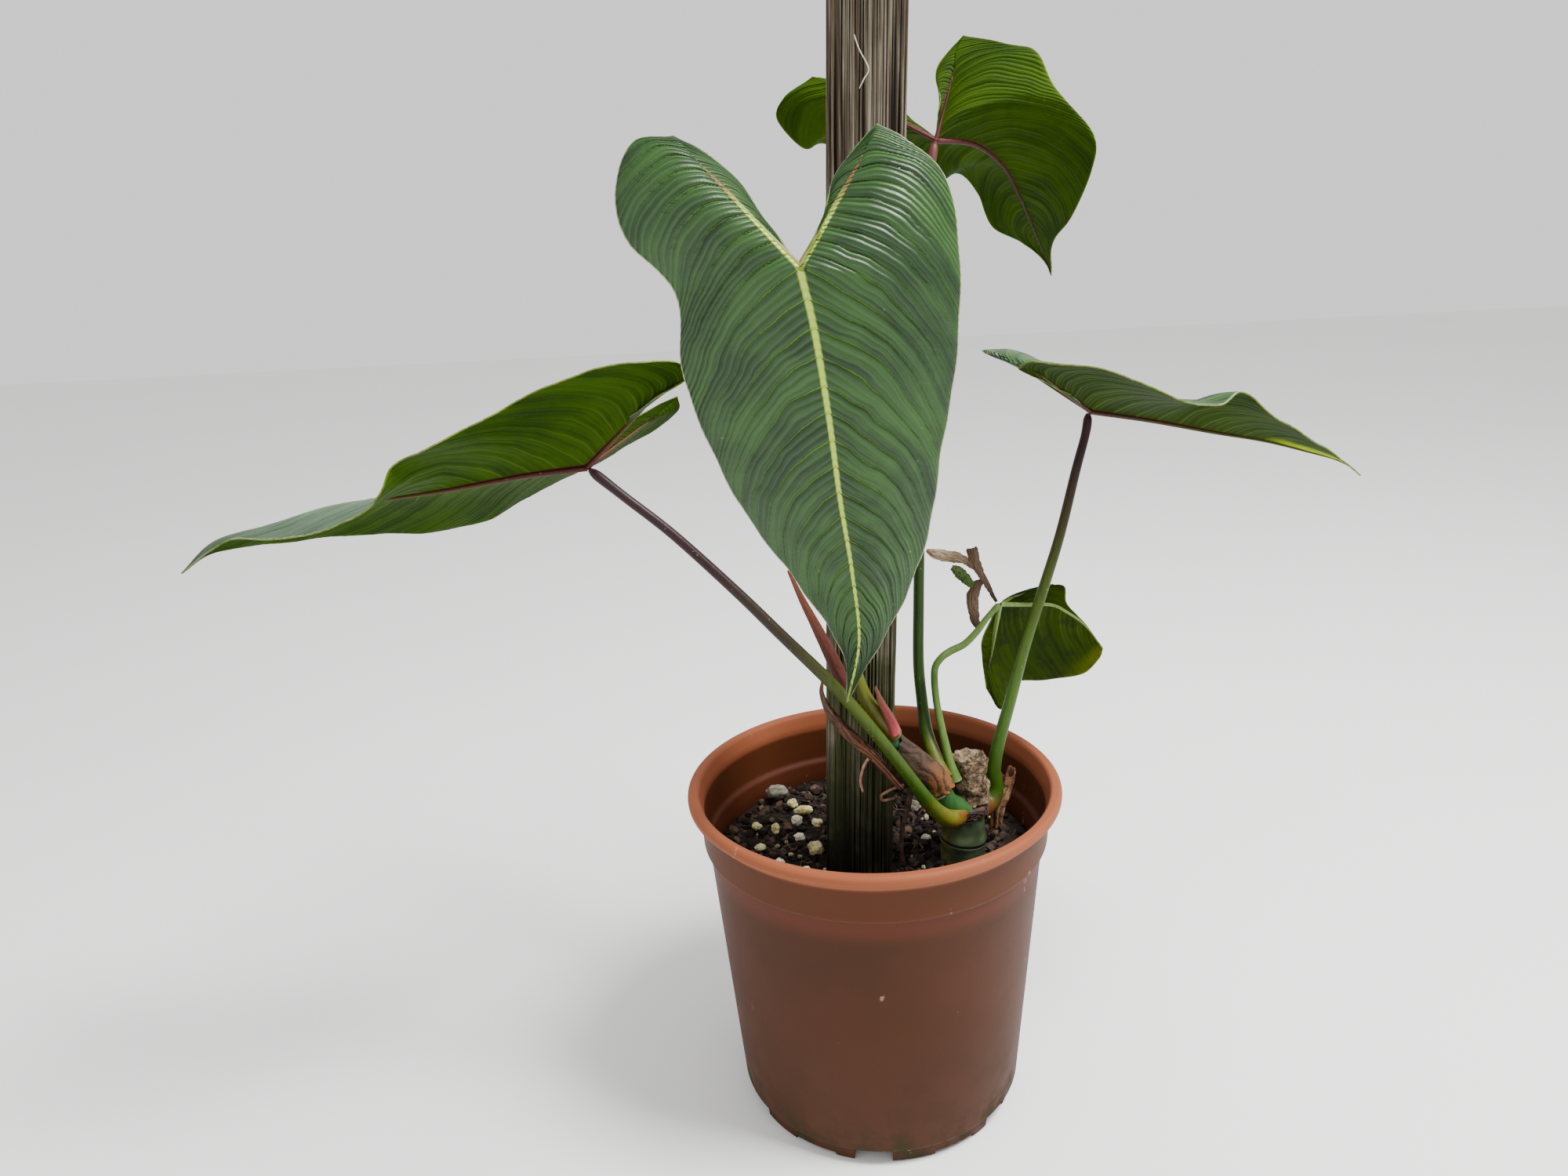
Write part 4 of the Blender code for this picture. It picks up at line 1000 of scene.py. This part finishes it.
def makeStem():
    s = stemSizes
    r, steps = s["radius"], s["steps"]
    x, y, _ = middle("stem_foot")
    low, high = s["foot"]
    foot = [
        (0.0, high), (r - 1.2, high), (r - 0.4, high - 3.0), (r - 0.2, 170.0), (r + 0.9, 165.5),
        (r + 1.0, 163.5), (r + 0.2, 161.0), (r + 0.6, 148.0), (r - 1.0, low + 3.0), (r - 4.0, low),
        (0.0, low)]
    shape = roughened(turned(denser(foot, 1.4), steps, (x, y)), 0.35, 0.12, 2.0, (1, 1, 0.5))
    makePiece("green_stem_foot", shape, [finishes["foot"]], ["stem_foot"], recalculate=True)
    base = high + 0.4
    collar = [
        (0.0, base + 6.0), (r - 1.5, base + 6.0), (r + 0.9, base + 4.8), (r + 0.3, base + 4.2),
        (r + 1.3, base + 3.4), (r + 0.4, base + 2.4), (r + 1.0, base + 1.4), (r + 0.2, base + 0.7),
        (r - 1.0, base), (0.0, base)]
    hairs = [roughened(turned(denser(collar, 0.6), 96, (x, y)), 0.55, 0.3, 6.0, (1, 1, 3))]
    for k in range(s["hairs"]):
        angle = dice.uniform(0, 6.28)
        z = base + dice.uniform(0.5, 5.6)
        route = []
        for j in range(5):
            a = angle + j * dice.uniform(0.06, 0.16)
            reach = r + 1.0 + dice.uniform(-0.1, 0.9)
            route.append((*ringSpot(a, reach, (x, y)), z + dice.uniform(-1.0, 1.0), 0.22))
        hairs.append(tube(route, 6, 14))
    bark = [finishes["ring"]]
    makePiece("leaf_scar_fibre", merge(hairs), bark, ["leaf_scar_collar"], recalculate=True)
    base = base + 6.4
    stump = [
        (0.0, 210.0), (3.4, 208.6), (6.6, 211.4), (9.0, 213.0), (10.6, 209.6), (10.0, 203.0), (11.4, 196.0),
        (11.8, base + 0.8), (11.0, base), (0.0, base)]
    cx, cy = s["stumpAt"]
    vertices, faces, _ = roughened(turned(denser(stump, 0.7), 110, (cx, cy)), 1.8, 0.2, 9.0, (1, 1, 0.8))
    scar = [max(0.0, 1 - abs(pz - 205.5) / 1.6) * max(0.0, 1 - abs(px - cx + 3.5) / 4.5) * (py < cy)
            for px, py, pz in vertices]
    flakes = [(vertices, faces, {"scar": scar})]
    for k in range(s["flakes"]):  # torn flakes round the sawn end
        angle = k * 0.42 + dice.uniform(-0.1, 0.1)
        hub = np.array((*ringSpot(angle, 9.4, (cx, cy)), 209.0))
        tall, lean = dice.uniform(2.0, 4.8), dice.uniform(-1.2, 1.6)
        out = np.array((math.cos(angle), math.sin(angle), 0.0))
        half, end = hub + out * lean * 0.5 + (0, 0, tall * 0.5), hub + out * lean + (0, 0, tall)
        route = [(*hub, 1.2), (*half, 0.9), (*end, 0.3)]
        flakes.append(roughened(tube(route, 9, 9), 0.3, 0.8, k))
    makePiece("corky_stump", merge(flakes), [finishes["cork"]], ["cut_stump"], recalculate=True)


shootSizes = dict(scarAt=0.27, teeth=34, scarHigh=2.0, route=[
    (48, -20, 184, 7.0), (39.5, -24.5, 191, 6.2), (34, -26, 201, 5.9), (26, -28.5, 213, 5.6),
    (16, -33.5, 226, 4.9), (7, -38, 238, 4.1), (2, -40, 246, 3.5)])


def makeShoot():
    s = shootSizes
    path = smoothPath(s["route"], 90)
    shape = roughened(tube(path, 34), 0.14, 0.2, 1.0)
    makePiece("living_shoot", shape, [finishes["shoot"]], ["side_shoot"])
    k = int(s["scarAt"] * (len(path) - 1))
    centre, radius = path[k, :3], path[k, 3] + 0.15
    axis = path[k + 3, :3] - path[k - 3, :3]
    axis /= np.linalg.norm(axis)
    side = np.cross(axis, (0, 1, 0.2))
    side /= np.linalg.norm(side)
    other = np.cross(axis, side)
    vertices, count = [], s["teeth"] * 4
    for j in range(count + 1):
        angle = 2 * math.pi * j / count
        spoke = side * math.cos(angle) + other * math.sin(angle)
        uneven = 0.8 + 0.3 * waver((j * 0.4, 1, 2), 1.0)
        tooth = s["scarHigh"] * (0.45 + 0.55 * abs((j % 4) / 2 - 1)) * uneven
        for t in (0.0, 0.5, 1.0):
            vertices.append(centre + spoke * (radius + 0.5 * t) + axis * (tooth * t - 0.6))
    pale = rootFinish("pale scar edge", (0.3, 0.36, 0.2), (0.5, 0.52, 0.36))
    shape = (np.array(vertices), gridFaces(count + 1, 3), {})
    makePiece("shoot_scar_edge", shape, [pale], thickness=0.35)


makeStem()
makeShoot()
print("stem made")


# Scale leaves and sheaths: x, y, z and radius in mm; opening is the open angle and facing where it looks.
dryHusk = dict(slot="dry_leaf", show=0.75, relief=0.3)
pinkHusk = dict(slot="pink_scale", show=0.35, relief=0.1)
sheaths = {
    "papery_sheath": dict(
        dryHusk, opening=165, facing=(0.1, 1, -0.5), ridge=0.4, ridges=8, ragged=1.8,
        dark=(0.018, 0.01, 0.007),
        stops=[(0.0, (0.2, 0.085, 0.025)), (0.22, (0.13, 0.05, 0.016)), (0.5, (0.065, 0.034, 0.018)),
               (1.0, (0.035, 0.02, 0.012))],
        route=[(34.5, -25.7, 201.5, 8.3), (31, -27, 208, 8.2), (24, -29.5, 216, 7.8), (15, -34, 227, 7.0),
               (8, -38, 236, 6.2)]),
    "tall_scale_leaf": dict(
        pinkHusk, opening=120, facing=(1, 0.4, 0.2), ridge=0.12, ridges=9, ragged=0.2,
        dark=(0.1, 0.03, 0.022),
        stops=[(0.0, (0.06, 0.013, 0.007)), (0.5, (0.085, 0.02, 0.011)), (1.0, (0.15, 0.05, 0.025))],
        route=[(-15, -43, 268, 4.4), (-20, -45, 284, 4.0), (-28, -48, 304, 3.0), (-36, -49, 322, 1.8),
               (-42, -50, 337, 0.6)]),
    "pink_scale_leaf": dict(
        pinkHusk, opening=140, facing=(-1, 0.3, -0.2), ridge=0.1, ridges=7, ragged=0.2,
        dark=(0.14, 0.035, 0.035),
        stops=[(0.0, (0.36, 0.05, 0.055)), (0.25, (0.16, 0.025, 0.024)), (1.0, (0.08, 0.03, 0.014))],
        route=[(9, -41, 243, 3.6), (6, -43, 252, 3.0), (2, -46, 262, 1.9), (-1, -47.5, 272, 0.6)]),
    "dry_scale_leaf": dict(
        dryHusk, opening=170, facing=(0.3, 0, 1), ridge=0.4, ridges=9, ragged=1.1,
        dark=(0.014, 0.007, 0.005),
        stops=[(0.0, (0.09, 0.03, 0.015)), (0.4, (0.14, 0.055, 0.025)), (0.7, (0.07, 0.028, 0.016)),
               (1.0, (0.16, 0.09, 0.05))],
        route=[(12, -45, 214, 2.4), (-1, -45, 232, 3.6), (-13, -44, 245, 4.2), (-22, -43, 256, 3.4),
               (-27, -43, 267, 1.8), (-27, -43, 276, 0.6)]),
    "dry_sheath_stub": dict(
        dryHusk, opening=120, facing=(-1, 1, 0.2), ridge=0.9, ridges=9, ragged=2.6,
        dark=(0.06, 0.025, 0.015),
        stops=[(0.0, (0.08, 0.035, 0.016)), (0.5, (0.3, 0.18, 0.085)), (1.0, (0.13, 0.045, 0.025))],
        route=[(70, 0, 160, 3.0), (71, 1, 172, 4.4), (74, 2, 184, 5.2), (77, 3, 195, 5.0)]),
}


def heading(points, i):  # the way a path runs at one of its points
    ahead, behind = points[min(i + 1, len(points) - 1)], points[max(i - 1, 0)]
    return (Vector(ahead[:3]) - Vector(behind[:3])).normalized()


def strip(path, rows, spot):  # a sheet along a path: spot places one of its points
    vertices, along, around = [], [], []
    for i in range(len(path)):
        for j in range(rows):
            share, across = i / (len(path) - 1), j / (rows - 1)
            vertices.append(tuple(spot(path[i], heading(path, i), share, across)))
            along.append(share)
            around.append(across)
    return np.array(vertices), gridFaces(len(path), rows), {"along": along, "around": around}


def makeSheath(name):
    s = sheaths[name]

    def spot(point, axis, share, across):
        x, y, z, radius = point
        out = Vector(s["facing"])
        out = (out - axis * out.dot(axis)).normalized()
        side = axis.cross(out)
        gap = s["opening"] + s["ragged"] * 9 * waver((share * 3, 0 if across < 0.5 else 5, 0), 1.6, len(name))
        turn = math.radians(gap / 2 + (360 - gap) * across)
        sway = 0.35 * waver((share * 2.0, across * 4, 2), 1.0)
        crease = math.sin(2 * math.pi * (across * s["ridges"] * 0.5 + sway))
        crumple = waver((x, y * 0.5 + across * 9, z), 0.16, 3)
        reach = max(radius + s["ridge"] * (0.6 * crease + 0.8 * crumple), 0.2)
        nearEnd = (max(0, share - 0.9) - max(0, 0.1 - share)) * 10
        end = s["ragged"] * waver((across * 5, 7, 1), 1.7, 2) * nearEnd
        return Vector((x, y, z)) + (out * math.cos(turn) + side * math.sin(turn)) * reach + axis * end

    look = (s["stops"], s["dark"], 0.55, s["ridges"] * 0.5, s["show"], s["relief"])
    finish = huskFinish(name.replace("_", " "), *look)
    shape = strip(smoothPath(s["route"], 90), 46, spot)
    makePiece(name + "_husk", shape, [finish], [name], thickness=0.45)


for name in sheaths:
    makeSheath(name)


# Roots above the mix: x, y, z and radius in mm.
roots = {
    "pink_root": dict(finish=rootFinish("pink root", (0.3, 0.13, 0.09), (0.45, 0.26, 0.18)), route=[
        (-3, -39, 230, 0.9), (-7, -36, 222, 0.8), (-9, -35, 213, 0.7), (-8, -35, 206, 0.6)]),
    "looped_root": dict(finish=finishes["root"], route=[
        (14, -33, 208, 0.9), (8, -35, 207, 0.8), (2, -36, 204, 0.8), (3, -36, 201, 0.8),
        (9, -34, 201, 0.7)]),
    "old_root": dict(finish=finishes["darkRoot"], route=[
        (18, -33, 205, 1.6), (17, -30, 194, 1.5), (14, -27, 180, 1.4), (13, -27, 166, 1.3),
        (14, -26, 156, 1.1)]),
}
for name, root in roots.items():
    shape = roughened(tube(root["route"], 12, 60), 0.12, 0.5, 3.0)
    makePiece(name + "_strand", shape, [root["finish"]], [name])


# Withered lobes of the small leaf: x, y, z and half width in mm along each dried strip.
tan = [(0.0, (0.13, 0.085, 0.05)), (0.45, (0.3, 0.21, 0.13)), (0.8, (0.42, 0.32, 0.21)),
       (1.0, (0.25, 0.16, 0.09))]
brown = [(0.0, (0.06, 0.04, 0.025)), (0.5, (0.16, 0.1, 0.06)), (1.0, (0.11, 0.065, 0.04))]
dullGreen = [(0.0, (0.1, 0.12, 0.035)), (0.5, (0.05, 0.1, 0.02)), (1.0, (0.07, 0.12, 0.02))]
witheredLobes = dict(
    driedMargin=dict(stops=brown, route=[
        (65, 11, 307, 1.2), (60.5, 10, 303, 3.0), (59, 10, 294, 3.4), (60.5, 11, 285, 2.8),
        (62.5, 12, 278, 1.4)]),
    driedTail=dict(stops=brown, route=[
        (72, 12, 294, 0.8), (66.5, 11, 305, 1.6), (62, 10, 314, 2.4), (59.5, 10, 321, 3.2),
        (58.5, 10, 326, 2.6)]),
    driedTip=dict(stops=tan, route=[
        (60, 11, 314, 1.0), (53, 10, 320, 2.4), (45, 10, 322, 3.2), (38, 10, 324, 2.4),
        (33.5, 10, 326, 0.7)]),
    greenStrip=dict(stops=dullGreen, route=[
        (47, 9, 316, 1.4), (51, 9, 313, 3.0), (55, 9, 309, 2.8), (59, 10, 304, 1.6)]))


def makeWithered(name, stops, route):
    def spot(point, axis, share, across):
        x, y, z, wide = point
        t = across * 2 - 1
        side = axis.cross(Vector((0.15, -1, 0.2))).normalized()
        back = axis.cross(side)
        crumple = 0.9 * waver((share * 4, t * 1.6, len(name)), 2.2) + 0.4 * waver((share * 9, t * 3, 1), 2.0)
        curl = wide * 0.55 * (1 - math.cos(t * 1.7))
        ragged = 1 + 0.22 * waver((share * 7, t > 0, len(name)), 2.0)
        return Vector((x, y, z)) + side * t * wide * ragged + back * (crumple + curl)

    finish = huskFinish("withered " + name, stops, (0.03, 0.018, 0.012), 0.75, 6.0, 0.45, 0.3)
    shape = strip(smoothPath(route, 60), 15, spot)
    makePiece("small_leaf_" + name, shape, [finish], thickness=0.4)


for name, lobe in witheredLobes.items():
    makeWithered(name, **lobe)
print("sheaths, roots and withered lobes made")


# Floor, light and camera.  Each light has its place, power and size.
studio = dict(floor=(0.9, 0.9, 0.89), floorShade=(0.86, 0.86, 0.85), world=1.1,
              key=((0.75, -0.35, 1.7), 70.0, 0.55), fill=((-1.3, -1.1, 0.9), 5.0, 1.6),
              cameraAt=(-0.0447, -0.6013, 0.5064), cameraDown=17.92, cameraRoll=-2.894, lens=27.0)


def makeStudio():
    s = studio
    f = Finish("studio floor", 0.9)
    f.wear(f.blend(s["floor"], s["floorShade"], f.cloud(f.place(), 3.0, 2.0)), 0.9)
    work = bmesh.new()
    bmesh.ops.create_grid(work, x_segments=8, y_segments=8, size=4.0)
    mesh = bpy.data.meshes.new("floor")
    work.to_mesh(mesh)
    work.free()
    mesh.materials.append(f.material)
    floor = bpy.data.objects.new("floor", mesh)
    floor.location = (0.0, 0.0, -0.0004)
    bpy.context.scene.collection.objects.link(floor)
    world = bpy.data.worlds.new("soft studio")
    world.use_nodes = True
    sky = world.node_tree.nodes["Background"].inputs
    sky["Color"].default_value = (1.0, 1.0, 1.0, 1.0)
    sky["Strength"].default_value = s["world"]
    bpy.context.scene.world = world
    for name in ("key", "fill"):
        spot, power, size = s[name]
        light = bpy.data.lights.new(name, "AREA")
        light.energy = power
        light.size = size
        lamp = bpy.data.objects.new(name, light)
        lamp.location = spot
        lamp.rotation_euler = (Vector((0.0, 0.0, 0.3)) - Vector(spot)).to_track_quat("-Z", "Y").to_euler()
        bpy.context.scene.collection.objects.link(lamp)
    lens = bpy.data.cameras.new("camera")
    lens.lens = s["lens"]
    lens.sensor_width = 36.0
    lens.clip_start = 0.01
    camera = bpy.data.objects.new("camera", lens)
    tilt = Euler((math.radians(90.0 - s["cameraDown"]), 0.0, 0.0)).to_matrix().to_4x4()
    roll = Matrix.Rotation(math.radians(s["cameraRoll"]), 4, "Z")
    camera.matrix_world = Matrix.Translation(s["cameraAt"]) @ tilt @ roll
    bpy.context.scene.collection.objects.link(camera)
    bpy.context.scene.camera = camera


makeStudio()
print("studio made")
